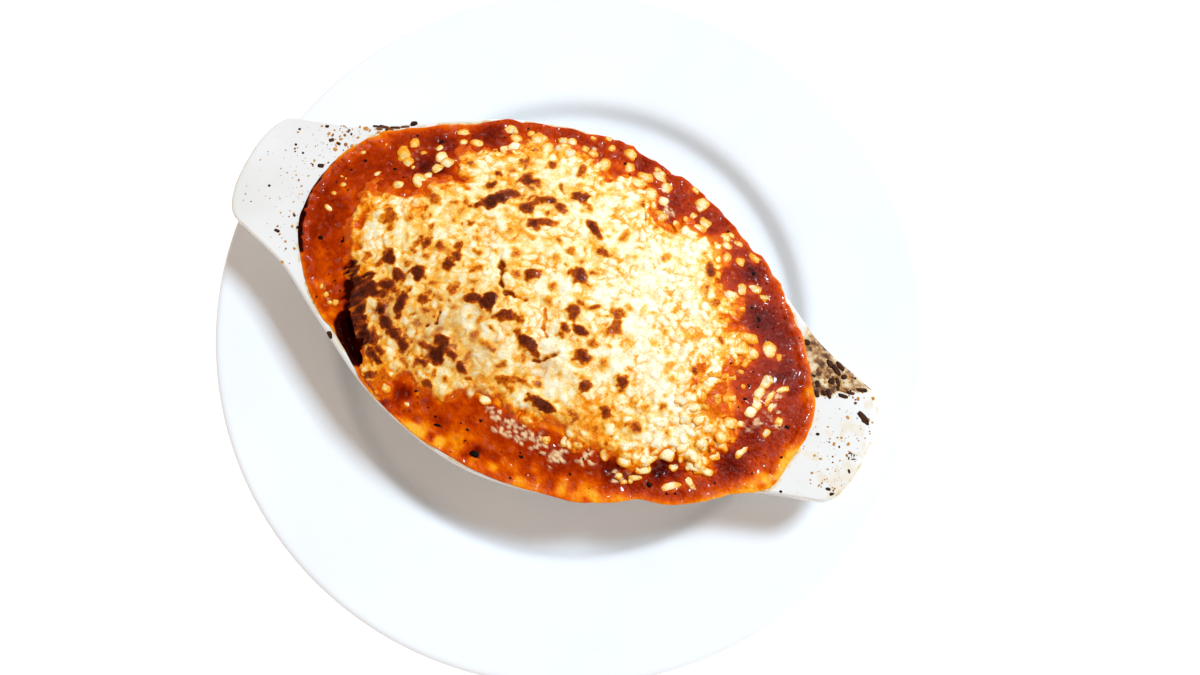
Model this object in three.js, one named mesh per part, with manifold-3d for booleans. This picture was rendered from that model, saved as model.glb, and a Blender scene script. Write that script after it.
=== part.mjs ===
// A plate of baked lasagna: a round porcelain dinner plate with an eared oval gratin dish in its well.
// The dish is filled over its brim with lasagna in tomato sauce, under a mat of melted, blistered cheese.
// Millimetres, Z up. The origin is on the plate's axis at the table, and X runs along the dish.
import * as THREE from 'three';
import { mergeVertices } from 'three/addons/utils/BufferGeometryUtils.js';
import Module from 'manifold-3d';

// Dinner plate: radii from its axis, heights from the table.
const plateRadius = 135;
const plateHeight = 20;
const plateThickness = 3.8;
const shoulderRadius = 93;
const shoulderHeight = 15.5;
const wellRadius = 83;
const wellHeight = 6;
const footRadius = 62;
const footWidth = 5;
const lipRound = 1;

// Gratin dish: its lengths run along X, its widths along Y, and its centre lies off the plate's axis.
const dishCentre = { x: -5.94, y: -3.08 };
const dishLength = 250;
const dishWidth = 133;
const baseLength = 138;
const baseWidth = 80;
const mouthLength = 192;
const mouthWidth = 123;
const mouthPower = 1.75;
const rimHeight = 46;
const earThickness = 6;
const earWidth = 44;
const dishWall = 5.5;
const dishFloor = 5;
const dishRecess = 1.2;
const dishFootInset = 0.8;
const dishFootWidth = 4;
const floorFillet = 3;
const rimRound = 0.9;
const touchGap = 0.3;

// Food: how far it stands over the rim, and the sizes of its cheese.
const moundRise = 15;
const foodOverRim = 1.4;
const spillRound = 0.4;
const cheeseThickness = 3.4;
const cheeseEdge = 2.2;
const pelletRelief = 0.55;
const crack = { x: -10, y: -2, lean: -0.3, length: 20, width: 4.4, depth: 1.2 };
const crumbSink = 0.25;
const crumbHeight = 0.9;

const spokes = 80;
const dishStands = wellHeight + touchGap;
const smooth = THREE.MathUtils.smoothstep;
const lerp = THREE.MathUtils.lerp;

const wasm = await Module();
wasm.setup();

// Reach of a superellipse from its centre, in the direction of an angle.
function ovalReach(angle, length, width, power = 2) {
  const u = Math.abs(Math.cos(angle)) / (length / 2);
  const v = Math.abs(Math.sin(angle)) / (width / 2);
  return (u ** power + v ** power) ** (-1 / power);
}

// Reach of a closed smooth outline through a few points, looked up by angle.
function outlineReach(points) {
  const curve = new THREE.CatmullRomCurve3(points.map(([x, y]) => new THREE.Vector3(x, y, 0)), true);
  const polar = curve.getPoints(points.length * 12)
    .map((p) => ({ angle: Math.atan2(p.y, p.x), reach: Math.hypot(p.x, p.y) }))
    .sort((a, b) => a.angle - b.angle);
  const first = { ...polar[0], angle: polar[0].angle + 2 * Math.PI };
  const last = { ...polar.at(-1), angle: polar.at(-1).angle - 2 * Math.PI };
  const table = [last, ...polar, first];
  return (angle) => {
    const next = table.findIndex((entry) => entry.angle > angle);
    const [a, b] = [table[next - 1], table[next]];
    return lerp(a.reach, b.reach, (angle - a.angle) / (b.angle - a.angle));
  };
}

// Half of the rim with an ear: the middle of one long side, the waist, the ear's flank, corner and end.
const halfLength = dishLength / 2;
const halfWidth = dishWidth / 2;
const halfEar = earWidth / 2;
const rimQuarter = [
  [halfLength * 0.31, halfWidth * 0.885],
  [halfLength * 0.58, halfWidth * 0.625],
  [halfLength * 0.75, halfWidth * 0.445],
  [halfLength * 0.89, halfEar * 1.08],
  [halfLength * 0.955, halfEar * 0.93],
  [halfLength * 0.99, halfEar * 0.55],
];
const rimPoints = [
  [halfLength, 0],
  ...rimQuarter.map(([x, y]) => [x, y]).reverse(),
  [0, halfWidth],
  ...rimQuarter.map(([x, y]) => [-x, y]),
  [-halfLength, 0],
  ...rimQuarter.map(([x, y]) => [-x, -y]).reverse(),
  [0, -halfWidth],
  ...rimQuarter.map(([x, y]) => [x, -y]),
];

// Ragged edge of the melted cheese, from the right end round by the far side.
const cheesePoints = [
  [58, -1], [62, 13], [63, 24], [52, 36], [44, 46], [31, 46], [20, 49], [4, 54],
  [-20, 56], [-37, 48], [-54, 38], [-52, 27], [-62, 18], [-80, 9], [-76, -8], [-66, -24],
  [-58, -42], [-40, -50], [-20, -49], [-5, -42], [20, -43], [45, -42], [60, -34], [77, -26],
  [80, -17], [68, -9],
];

// Blisters where the cheese has puffed and browned: x, y, radius and height.
const blisters = [
  [-56, -12, 4.5, 1.3], [-43, -13, 4.5, 1.6], [-22, -13, 4, 1.2], [-15.5, -12.5, 5, 1.6],
  [-32, -2, 4, 1.2], [-44, -24, 4.5, 1.2], [-24, -35, 7, 1.8], [-12, -36, 4.5, 1.2],
  [-46, -34, 5, 1.3], [-33, 21, 5, 1.6], [-25, 34, 4.5, 1.3], [-14, 31, 5, 1.3],
  [-10, 22, 5, 1.1], [-5, 37, 4.5, 1.4], [9, 9.5, 5, 1.5], [15, -9, 5.5, 1.9],
  [4, -20, 5.5, 1.7], [12, -4, 4, 1.2], [27, -2, 4.5, 1.3], [38, -16.5, 4.5, 1.6],
  [17, -35.5, 6, 1.6], [27, -24, 4, 1.2], [6, 28, 4.5, 1.1], [-62, 2, 5, 1.2],
];

// Crumbs of cheese that lie apart on the sauce: x, y, length, width and turn.
const crumbs = [
  [-71.5, 25, 8, 6, 0.7], [-70, 31, 5, 4, 2], [-77, 27.5, 4, 3.5, 0], [-57, 43.5, 6, 4, 0.3],
  [-43, 52.5, 6, 4.5, 2.6], [11.5, 57.5, 6, 4, 0.2], [19.5, 56.5, 4.5, 4, 0], [34.5, 56, 6, 4, 2.4],
  [48, 50.5, 7, 5, 2.5], [55, 44.5, 4, 3, 1], [64.5, 36.3, 6, 4, 0.5], [78.5, 18, 5.5, 5, 2.7],
  [73.5, 15, 4.5, 3.5, 1], [82.5, 7, 4.5, 4, 1.5], [87.5, 7, 6, 2.8, 0.6], [82, 0.5, 4.5, 4, 1],
  [86, -1.5, 4.5, 3, 0.6], [81.5, -5.5, 4.5, 3.5, 0], [90.5, -8, 4, 3, 1.3],
  [85.5, -18, 5, 3, 1.4], [68, -40.5, 8, 3.5, 0.7], [74, -37, 6, 3, 2.6],
  [-65, -36.5, 5, 4.5, 0], [-86.5, -4, 4.5, 3.5, 0], [-86, 6.5, 4, 3, 0.4], [-36, 56.5, 4.5, 3.5, 0.4],
];

const rimReach = outlineReach(rimPoints);
const cheeseReach = outlineReach(cheesePoints);
const mouthReach = (angle) => ovalReach(angle, mouthLength, mouthWidth, mouthPower);
const baseReach = (angle) => ovalReach(angle, baseLength, baseWidth);

// The food spills over the mouth onto the rim, furthest at the right end, and stops inside the rim's edge.
function spillReach(angle) {
  const overflow = 4.6 + 3 * Math.cos(angle) - 0.6 * Math.cos(2 * angle);
  return Math.min(rimReach(angle) - 1, mouthReach(angle) + overflow);
}

// Outside of the dish's wall, which flares from the base to the mouth.
function wallReach(angle, height) {
  const rise = ((height - dishStands) / (rimHeight - dishStands)) ** 0.8;
  return lerp(baseReach(angle), mouthReach(angle) + dishWall, rise);
}

// Smooth top of the food, highest in the middle.
function moundHeight(x, y) {
  const angle = Math.atan2(y, x);
  const out = Math.hypot(x, y) / (mouthReach(angle) + foodOverRim);
  return rimHeight + foodOverRim + moundRise * Math.max(0, 1 - out * out) ** 1.25;
}

// Share of the way from the food's middle (0) to the edge of the cheese (1).
function cheeseShare(x, y) {
  return Math.hypot(x, y) / cheeseReach(Math.atan2(y, x));
}

function sauceHeight(x, y) {
  const cover = 1 - smooth(cheeseShare(x, y), 0.35, 1);
  return moundHeight(x, y) - cheeseThickness * cover - touchGap;
}

// A smooth bump of height 1, down to a seventh at one radius.
const bump = (away) => Math.exp(-2 * away * away);

// Crags of half-melted pellets, raised blisters and one crack across the middle.
function cheeseHeight(x, y) {
  const pellets = Math.cos(x / 1.9 + Math.sin(y / 2.7)) * Math.cos(y / 1.7 + Math.sin(x / 2.3));
  const raised = blisters.reduce((sum, [bx, by, radius, height]) => {
    return sum + height * bump(Math.hypot(x - bx, y - by) / radius);
  }, 0);
  const along = (x - crack.x) / (crack.length / 2);
  const across = (y - crack.y - crack.lean * (x - crack.x)) / (crack.width / 2);
  const split = crack.depth * bump(along) * bump(across);
  return moundHeight(x, y) + pelletRelief * pellets + raised - split;
}

// Closed body with its middle on the axis: a lathe of unit rings, each then sent out to its own outline.
// A ring is { reach(angle), height(x, y) }, and they run from the underside's middle round to the top's.
function ringBody(rings) {
  const pole = (i) => i === 0 || i === rings.length - 1;
  const profile = rings.map((ring, i) => new THREE.Vector2(pole(i) ? 0 : 1, i));
  const geometry = merged(new THREE.LatheGeometry(profile, spokes));
  const position = geometry.attributes.position;
  for (let i = 0; i < position.count; i += 1) {
    const { reach, height } = rings[Math.round(position.getY(i))];
    const isPole = pole(Math.round(position.getY(i)));
    const [c, s] = [position.getZ(i), position.getX(i)];
    const angle = Math.atan2(s * mouthWidth, c * mouthLength);
    const radius = isPole ? 0 : reach(angle);
    const [x, y] = [radius * Math.cos(angle), radius * Math.sin(angle)];
    position.setXYZ(i, x, y, height(x, y));
  }
  return geometry;
}

// Shared vertices joined, with only positions left and no collapsed triangles.
function merged(geometry) {
  geometry.deleteAttribute('normal');
  geometry.deleteAttribute('uv');
  const clean = mergeVertices(geometry, 1e-4);
  const index = clean.index.array;
  const kept = [];
  for (let i = 0; i < index.length; i += 3) {
    const [a, b, c] = [index[i], index[i + 1], index[i + 2]];
    if (a !== b && b !== c && c !== a) kept.push(a, b, c);
  }
  clean.setIndex(kept);
  return clean;
}

function toSolid(geometry) {
  return new wasm.Manifold(new wasm.Mesh({
    numProp: 3,
    vertProperties: new Float32Array(geometry.attributes.position.array),
    triVerts: new Uint32Array(geometry.index.array),
  }));
}

function toGeometry(solid) {
  const mesh = solid.getMesh();
  const geometry = new THREE.BufferGeometry();
  geometry.setAttribute('position', new THREE.BufferAttribute(mesh.vertProperties, 3));
  geometry.setIndex(new THREE.BufferAttribute(mesh.triVerts, 1));
  return geometry;
}

function plateGeometry() {
  const lip = plateRadius - lipRound;
  const under = plateThickness;
  const footOut = footRadius + footWidth / 2;
  const footIn = footRadius - footWidth / 2;
  const profile = [
    [0, wellHeight - under],
    [footIn - 1.5, wellHeight - under],
    [footIn, 0],
    [footOut, 0],
    [footOut + 1.5, wellHeight - under],
    [wellRadius, wellHeight - under + 0.8],
    [shoulderRadius, shoulderHeight - under - 1.6],
    [shoulderRadius + 5, shoulderHeight - under],
    [lip - 6, plateHeight - under - 0.8],
    [lip, plateHeight - 3.2],
    [plateRadius, plateHeight - 1.6],
    [lip - lipRound, plateHeight],
    [lip - 7, plateHeight - 0.8],
    [shoulderRadius + 4, shoulderHeight + 0.2],
    [shoulderRadius, shoulderHeight - 0.4],
    [shoulderRadius - 4, shoulderHeight - 3.2],
    [wellRadius + 2, wellHeight + 2.3],
    [wellRadius - 2, wellHeight + 0.4],
    [wellRadius - 7, wellHeight],
    [0, wellHeight],
  ];
  const geometry = merged(new THREE.LatheGeometry(profile.map(([r, z]) => new THREE.Vector2(r, z)), spokes));
  return geometry.rotateX(Math.PI / 2);
}

// Heights of the rings down the dish's inner wall, which the food follows with a small gap.
const innerFloor = dishStands + dishFloor;
const wallHeights = [0.97, 0.72, 0.45, 0.2].map((share) => lerp(innerFloor, rimHeight, share));
const innerWallReach = (angle, height) => wallReach(angle, height) - dishWall;

function dishGeometry() {
  const flat = (height) => () => height;
  const inBase = (inset) => (angle) => baseReach(angle) - inset;
  const inRim = (inset) => (angle) => rimReach(angle) - inset;
  const outerWall = [0.06, 0.3, 0.6, 0.84].map((share) => {
    const height = lerp(dishStands, rimHeight, share);
    return { reach: (angle) => wallReach(angle, height), height: flat(height) };
  });
  const innerWall = wallHeights.map((height) => (
    { reach: (angle) => innerWallReach(angle, height), height: flat(height) }
  ));
  return ringBody([
    { height: flat(dishStands + dishRecess) },
    { reach: inBase(dishFootInset + dishFootWidth + dishRecess), height: flat(dishStands + dishRecess) },
    { reach: inBase(dishFootInset + dishFootWidth), height: flat(dishStands) },
    { reach: inBase(dishFootInset), height: flat(dishStands) },
    ...outerWall,
    { reach: inRim(rimRound), height: flat(rimHeight - earThickness) },
    { reach: inRim(0), height: flat(rimHeight - earThickness + 1.5 * rimRound) },
    { reach: inRim(0), height: flat(rimHeight - 1.5 * rimRound) },
    { reach: inRim(rimRound), height: flat(rimHeight) },
    { reach: (angle) => mouthReach(angle) + rimRound, height: flat(rimHeight) },
    ...innerWall,
    { reach: (angle) => innerWallReach(angle, innerFloor) - floorFillet, height: flat(innerFloor) },
    { height: flat(innerFloor) },
  ]);
}

// Rings that the sauce's top and the cheese's underside share, so that they lie face to face.
const underCheese = [1, 0.8, 0.6, 0.38, 0.18];
const cheeseRing = (share) => (angle) => cheeseReach(angle) * share;

function fillingGeometry() {
  const gap = 1.5 * touchGap;
  const brim = rimHeight + touchGap;
  const wall = [...wallHeights].reverse().map((height) => (
    { reach: (angle) => innerWallReach(angle, height) - gap, height: () => height }
  ));
  const outside = [0.9, 0.6, 0.3].map((share) => (
    { reach: (angle) => lerp(cheeseReach(angle), spillReach(angle), share), height: sauceHeight }
  ));
  return ringBody([
    { height: () => innerFloor + touchGap },
    {
      reach: (angle) => innerWallReach(angle, innerFloor) - floorFillet - gap,
      height: () => innerFloor + touchGap,
    },
    ...wall,
    { reach: (angle) => mouthReach(angle) + rimRound - touchGap, height: () => brim },
    { reach: (angle) => spillReach(angle) - spillRound, height: () => brim },
    { reach: spillReach, height: () => brim + spillRound },
    ...outside,
    ...underCheese.map((share) => ({ reach: cheeseRing(share), height: sauceHeight })),
    { height: sauceHeight },
  ]);
}

// A cheese crumb, half sunk in the sauce.
function crumbSolid([x, y, length, width, turn]) {
  const geometry = merged(new THREE.DodecahedronGeometry(1, 0));
  geometry.scale(length / 2, width / 2, width * crumbHeight / 2);
  geometry.rotateZ(turn);
  geometry.translate(x, y, sauceHeight(x, y) + width * crumbSink);
  return toSolid(geometry);
}

function lasagnaGeometry() {
  return toGeometry(crumbs.reduce((food, crumb) => food.add(crumbSolid(crumb)), toSolid(fillingGeometry())));
}

function cheeseGeometry() {
  const topRings = 20;
  const lift = (height) => (x, y) => sauceHeight(x, y) + height;
  const innerEdge = 0.965;
  const top = Array.from({ length: topRings }, (_, i) => innerEdge * (1 - i / topRings));
  return ringBody([
    { height: lift(touchGap) },
    ...[...underCheese].reverse().map((share) => ({ reach: cheeseRing(share), height: lift(touchGap) })),
    { reach: cheeseRing(0.998), height: lift(touchGap + cheeseEdge / 2) },
    ...top.map((share) => ({
      reach: cheeseRing(share),
      height: (x, y) => Math.max(cheeseHeight(x, y), sauceHeight(x, y) + cheeseEdge),
    })),
    { height: cheeseHeight },
  ]);
}

function addPiece(group, name, geometry, color, roughness) {
  const material = new THREE.MeshStandardMaterial({ color, roughness, metalness: 0, flatShading: true });
  const mesh = new THREE.Mesh(geometry, material);
  mesh.name = name;
  group.add(mesh);
}

const filledDish = new THREE.Group();
filledDish.position.set(dishCentre.x, dishCentre.y, 0);
addPiece(filledDish, 'gratin_dish', dishGeometry(), '#f4f3ee', 0.2);
addPiece(filledDish, 'lasagna_and_sauce', lasagnaGeometry(), '#a5330f', 0.4);
addPiece(filledDish, 'melted_cheese', cheeseGeometry(), '#f3d793', 0.5);

const lasagnaPlate = new THREE.Group();
addPiece(lasagnaPlate, 'plate', plateGeometry(), '#f6f8fa', 0.15);
lasagnaPlate.add(filledDish);

export default lasagnaPlate;
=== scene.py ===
import bpy
import bmesh
import math
import numpy as np
from mathutils import Matrix, Vector, noise


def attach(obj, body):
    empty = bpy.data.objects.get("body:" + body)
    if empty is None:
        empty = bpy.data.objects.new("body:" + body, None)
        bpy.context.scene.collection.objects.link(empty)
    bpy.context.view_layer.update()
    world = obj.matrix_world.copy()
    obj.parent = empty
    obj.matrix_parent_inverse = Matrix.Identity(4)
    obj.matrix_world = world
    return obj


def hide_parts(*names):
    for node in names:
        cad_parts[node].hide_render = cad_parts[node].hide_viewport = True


# A plate of baked lasagna in an eared gratin dish. The dish's plan is in millimetres from its own centre,
# with u along its long axis (the part's X) and v across it (the part's Y). Meshes are in metres.
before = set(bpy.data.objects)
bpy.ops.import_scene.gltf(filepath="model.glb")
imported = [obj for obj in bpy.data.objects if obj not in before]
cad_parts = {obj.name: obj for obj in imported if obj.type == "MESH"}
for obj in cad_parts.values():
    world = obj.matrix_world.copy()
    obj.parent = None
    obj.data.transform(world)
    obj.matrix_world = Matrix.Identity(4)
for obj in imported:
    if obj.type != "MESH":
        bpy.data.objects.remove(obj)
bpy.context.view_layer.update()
scene = bpy.context.scene
mm = 0.001

dishPlan = {
    "centre": (-5.94, -3.08),  # on the plate
    "rimHeight": 46.0,  # over the table
    "mouth": (96.0, 61.5),  # half its length and width
    "mouthPower": 1.75,  # 2 is an ellipse, and less is more pointed
    "base": (69.0, 40.0),  # half the foot's length and width
    "stands": 6.3,  # height of the foot over the table, in the plate's well
    "wall": 5.5,
    "floor": 5.0,
    "rimThickness": 6.0,
    "mound": 15.0,  # how far the food rises over the rim
}
rimHeight = dishPlan["rimHeight"]

# One quarter of the rim, from the tip of an ear round to the side.
rimQuarter = [(125.0, 0), (123.8, 12), (119.5, 20.5), (111, 23.8), (93.5, 29.6), (72.5, 41.6), (38.8, 58.9)]

# Edge of the sauce, run over the mouth and onto the rim, from the right end round by the far side.
spillOutline = [
    (103.5, -3), (101.5, 8), (97, 15), (92, 22.5), (84, 31.5), (76, 39), (67, 46), (55, 51.5), (45, 56),
    (35, 60.5), (24, 63), (15, 64.2), (5, 66), (-4, 66.5), (-14, 64), (-26, 61.5), (-38, 58), (-47, 55),
    (-55, 49.2), (-66, 43.3), (-75, 37.3), (-84, 31), (-91.5, 21.5), (-96, 9), (-97.2, -4), (-94.5, -15),
    (-88, -25), (-79, -34.6), (-70, -41), (-65, -42.8), (-57, -47.8), (-52, -51.2), (-46, -55.4),
    (-35, -59.5), (-20, -63.7), (-6, -64.8), (5, -65.5), (20, -64), (30, -62), (40, -60), (52, -54.5),
    (60, -49.3), (70, -46.5), (80, -40.5), (88, -33.6), (95.5, -29), (100, -24), (102, -12),
]
spillWaver = {"all": 0.0015, "far": 0.006, "size": 2.6}  # its unevenness as a share, most on the far side

# Ragged edge of the mat of cheese, the same way round.
cheeseOutline = [
    (71.5, -3), (70, 1), (71, 6.5), (75, 10.5), (76, 15), (71, 20), (62, 20), (65, 26), (60, 32), (55, 31.5),
    (52, 36), (51, 42), (46, 47.5), (36, 47.5), (31, 50), (29, 44.5), (23, 43.5), (19, 52), (10, 54.5),
    (3, 53.5), (-1, 50.5), (-4, 57), (-12, 55.5), (-19, 59), (-25, 55), (-31, 55.5), (-34.5, 49), (-39, 45),
    (-45, 41), (-54, 40.5), (-54, 35), (-51, 28), (-46, 25), (-57, 23), (-63.5, 18.5), (-58, 15.5),
    (-66, 12.5), (-71, 12), (-79.5, 11), (-79.5, 5), (-77, -3), (-75, -11), (-71, -18), (-70, -23),
    (-66, -28), (-63, -33), (-60, -37), (-56, -41), (-52, -44), (-51, -52), (-45, -56.5), (-39, -58.5),
    (-35, -55), (-36, -50), (-31, -48), (-26, -50.5), (-22, -48.5), (-17, -50.5), (-11, -45.5),
    (-5.5, -41.5), (2, -42), (14, -43), (26, -41), (31, -44.5), (38, -41.5), (46, -41), (52, -42), (57, -41),
    (59.5, -34), (67, -31), (73, -33), (79, -29), (77, -23), (81.5, -17), (80, -11.5), (77, -10.5),
    (73.5, -7),
]

# Blisters where the cheese has puffed and browned: u, v, length, width, turn in degrees, how dark.
blisters = [
    (-50.5, -29.8, 6, 3.4, -62, 0.95), (-40.9, -35.6, 5, 3, -30, 0.9), (-36, -37.7, 4, 3.2, 0, 0.85),
    (-49.1, -40.6, 5.4, 3.6, -50, 0.85), (-44.5, -43.2, 5, 2.8, -10, 0.8), (-36, 27.5, 5, 4, 60, 0.9),
    (-32.5, 22, 12, 5, 50, 1.0), (-29, 26.5, 6, 4.5, 20, 0.85), (-25, 34.5, 7, 5, 20, 0.85),
    (-35.5, 33, 3.5, 2.6, 0, 0.8), (-32, 36, 4.5, 2.4, 10, 0.6), (-19, 26, 6, 3.6, 65, 0.8),
    (-14.5, 30.8, 7, 3, 12, 0.85), (-10, 30, 5, 3.2, -20, 0.85), (-21, 24, 7, 2.4, 5, 0.6),
    (-15.5, 20, 3.6, 4.4, 80, 0.85), (-12, 22.4, 7, 2.8, 22, 0.8), (-8, 23.7, 4.5, 2.4, 10, 0.7),
    (-14.5, 15.5, 2, 4, 80, 0.5), (-5, 37, 7, 4.4, 15, 0.85), (-1, 35.5, 6, 3, -25, 0.75),
    (-19.5, 44.3, 3.8, 3.2, 0, 0.75), (-10, 47.5, 7, 3.6, 100, 0.65), (-29.5, 41, 4.5, 2.8, 0, 0.55),
    (-8, 41.5, 2.8, 2.2, 0, 0.45), (-26.5, 45.5, 3.4, 2.2, 10, 0.5), (-35, 10.5, 5.6, 3.4, 80, 0.85),
    (-41.5, 9, 3.4, 2.6, 0, 0.7), (-43.5, 16, 3.2, 2.4, 30, 0.6), (-52, 14, 6, 3.2, 12, 0.6),
    (-46.5, 32, 3, 2.2, 0, 0.5), (-56, 3.5, 4, 3, 0, 0.6), (-64, 1, 7, 4.4, 30, 0.65),
    (-15.5, 7, 3.4, 2.6, 0, 0.6), (-7, 2.6, 5.6, 4.2, 35, 0.85), (-11, 0.5, 4, 2.4, 10, 0.55),
    (-1.5, 12.5, 3, 2.4, 0, 0.5), (-28.5, 2, 4.5, 3, 0, 0.7), (-34.8, 2.4, 4.4, 2.8, 70, 0.8),
    (-33, -2.2, 5, 3.4, 100, 0.85), (-30, 6.5, 2.6, 2.2, 0, 0.5), (-22.5, 5, 2.4, 2, 0, 0.5),
    (-20.5, 13.5, 3, 3, 0, 0.4), (9, 9.5, 6.6, 6, 0, 0.9), (12.5, 13, 4.4, 2, 20, 0.75),
    (2, 17.2, 4, 3, 0, 0.55), (7, 15, 1.8, 1.6, 0, 0.6), (5.5, 27.8, 9.5, 3, -33, 0.9),
    (12.3, 22.4, 4, 3.4, 0, 0.75), (15.6, 30.5, 6.5, 2.6, 85, 0.6), (10.6, 28, 2.2, 1.6, 0, 0.6),
    (22, 25.4, 2.4, 2.2, 0, 0.6), (32.2, 31, 3, 2.2, 60, 0.55), (47.5, 34, 7, 2.8, 110, 0.55),
    (49.5, 27, 7, 3.2, 100, 0.45), (26, 4.2, 5, 4.6, 0, 0.65), (28.4, 7.6, 3, 2.4, 0, 0.6),
    (27.3, -1.6, 7, 4.6, 70, 0.7), (24.5, -4.3, 3.4, 2.6, 0, 0.6), (12, -2.8, 6, 4.6, 100, 0.75),
    (12.8, 1.2, 2.6, 2.2, 0, 0.7), (18, 1.8, 5, 1.5, 42, 0.85), (2, 2, 3.2, 2.6, 0, 0.6),
    (3, -3, 3.2, 2.6, 0, 0.55), (51.5, 8.5, 2.4, 2.2, 0, 0.5), (42, 0.3, 2.4, 2.2, 0, 0.5),
    (47.5, -0.6, 4, 2.8, 0, 0.5), (50.5, -4, 5.6, 2.8, 80, 0.45), (34, 9, 4, 2, 80, 0.35),
    (58.4, -1.6, 3.4, 2.8, 90, 0.7), (-56, -11.8, 6.4, 5.4, 60, 0.95), (-58.5, -15.6, 4, 2.6, 30, 0.85),
    (-43.6, -13, 7, 4.8, 20, 0.95), (-48.7, -12.4, 3.2, 3, 0, 0.65), (-64.6, -16, 5, 3.4, 75, 0.8),
    (-50, -16.6, 7, 3.2, -32, 0.85), (-37, -20.3, 4.4, 3, 0, 0.75), (-29.5, -13.6, 4.4, 3.2, 80, 0.65),
    (-22, -13.4, 6.4, 4.4, 40, 0.9), (-15.8, -12.6, 8, 5.4, 95, 1.0), (-8.5, -13.8, 5.4, 3.8, 20, 0.85),
    (-2, -13.2, 3.4, 3, 0, 0.7), (-16, -19, 3, 1.8, 80, 0.6), (-35, -6.5, 4.4, 3.2, 10, 0.9),
    (-45.6, -2.8, 4.4, 3, 80, 0.8), (-49, -3.6, 3.4, 2.2, 80, 0.7), (-41, -1.6, 4, 3, 90, 0.6),
    (-44, -6.6, 2.6, 2.2, 0, 0.65), (-49.6, -6.4, 3, 2, 0, 0.6), (-52.3, -22, 5.4, 3.8, 10, 0.85),
    (-44.3, -25, 8.6, 3.2, 88, 0.95), (-58, -25.5, 8, 6, 110, 0.95), (-36, -24, 2.6, 2, 0, 0.5),
    (-48, -32.5, 7, 3.4, -35, 0.9), (-42.6, -35.6, 6, 3.4, -15, 0.9), (-38.3, -37, 4.6, 3.6, 0, 0.85),
    (-25.5, -31, 7, 4.4, 10, 0.85), (-24, -36, 6, 6, 0, 1.0), (-29.5, -35, 6, 2.6, 5, 0.8),
    (-19.8, -34, 6.4, 3, -15, 0.85), (-14.5, -36.4, 7, 2.6, -25, 0.85), (-10.3, -38.6, 3.4, 1.8, 0, 0.8),
    (-28, -40.6, 5, 2.2, -5, 0.9), (-22.6, -42, 3.4, 2.2, 90, 0.7), (-18.5, -42.2, 4, 3.2, 0, 0.65),
    (-23.5, -46, 3.4, 2.6, 0, 0.8), (-54, -44, 5.4, 4.2, 0, 0.95), (-47, -44.4, 8, 3.2, -20, 0.9),
    (-43.8, -52, 4, 3.4, 0, 0.7), (-58, -36.6, 5.6, 4.2, 0, 0.95), (-10, -25.6, 5.4, 2.2, 0, 0.5),
    (0.5, -33.6, 6, 3, 10, 0.7), (-2.5, -38.2, 4.4, 1.8, 10, 0.6), (12.4, -9.8, 5.4, 5, 40, 0.95),
    (16.8, -7.6, 5.6, 4, 10, 0.95), (21.4, -15, 4.4, 4, 0, 0.85), (23, -9.2, 3, 2.6, 0, 0.65),
    (28, -7.6, 2.4, 2.2, 0, 0.6), (29, -13.8, 3.6, 2.6, 80, 0.5), (38, -16.8, 5.6, 4.8, 0, 0.9),
    (27, -23.6, 6, 3.6, 45, 0.8), (22.4, -21.6, 2.8, 2.4, 0, 0.55), (3.6, -19.4, 9, 4.6, -18, 0.95),
    (-2, -17, 4, 3.4, 0, 0.8), (45, -21.4, 3, 2.4, 50, 0.6), (48.5, -28.6, 6, 3, 0, 0.65),
    (37, -28, 3.6, 3.2, 80, 0.8), (16.4, -35.6, 11, 4.2, 0, 0.95), (7, -31.6, 7, 1.5, -5, 0.65),
    (11.5, -30.4, 4, 1.6, -10, 0.6), (26.5, -34.4, 3.2, 2.4, 0, 0.6), (27, -37.6, 3.2, 2.2, 0, 0.5),
    (43.5, -37.6, 3.4, 2, 0, 0.55), (-72.5, -8, 2, 1.8, 0, 0.4),
]

# Places where the cheese is more golden (or, below zero, paler) all over, those at the lower left partly
# painted shade on the side turned from the light: u, v, radius, how much.
goldenAndShadePlaces = [
    (-38, -28, 22, 0.13), (-20, -34, 16, 0.10), (0, -30, 14, 0.06), (-30, 28, 16, 0.07),
    (-42, -10, 16, 0.07), (-16, 34, 14, 0.06), (-6, 12, 16, 0.05), (-50, -40, 10, 0.12), (-73, 4, 6, 0.10),
    (-64, 1, 8, 0.06), (-38, 10, 14, 0.04), (-46, 0, 10, 0.06), (-62, 7, 9, -0.10), (-30, 50, 10, 0.08),
    (-60, -30, 12, 0.30), (-52, -24, 9, 0.12), (-42, -46, 10, 0.16), (-34, -36, 12, 0.08),
    (-24, -34, 12, 0.10), (48.5, 33, 4.5, 0.26), (50, 26, 5, 0.24), (60, 24, 6, 0.10), (56, -2, 5, 0.12),
    (36, -34, 13, 0.08), (49, -33, 9, 0.06), (24, -38, 9, 0.05), (4, -36, 9, 0.08), (-44, -52, 6, 0.20),
    (40, 10, 26, -0.24), (44, -10, 14, -0.18), (26, 30, 12, -0.10), (8, -14, 9, -0.20), (13, -24, 9, -0.16),
    (-4, 22, 14, -0.10), (-2, 4, 12, -0.10), (-46, 34, 8, -0.08), (-10, -44, 8, -0.12), (66, -20, 14, -0.14),
    (58, -33, 8, -0.12), (-66, -9, 8, -0.10), (-18, -26, 8, -0.05), (20, 15, 9, -0.10),
]

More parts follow.
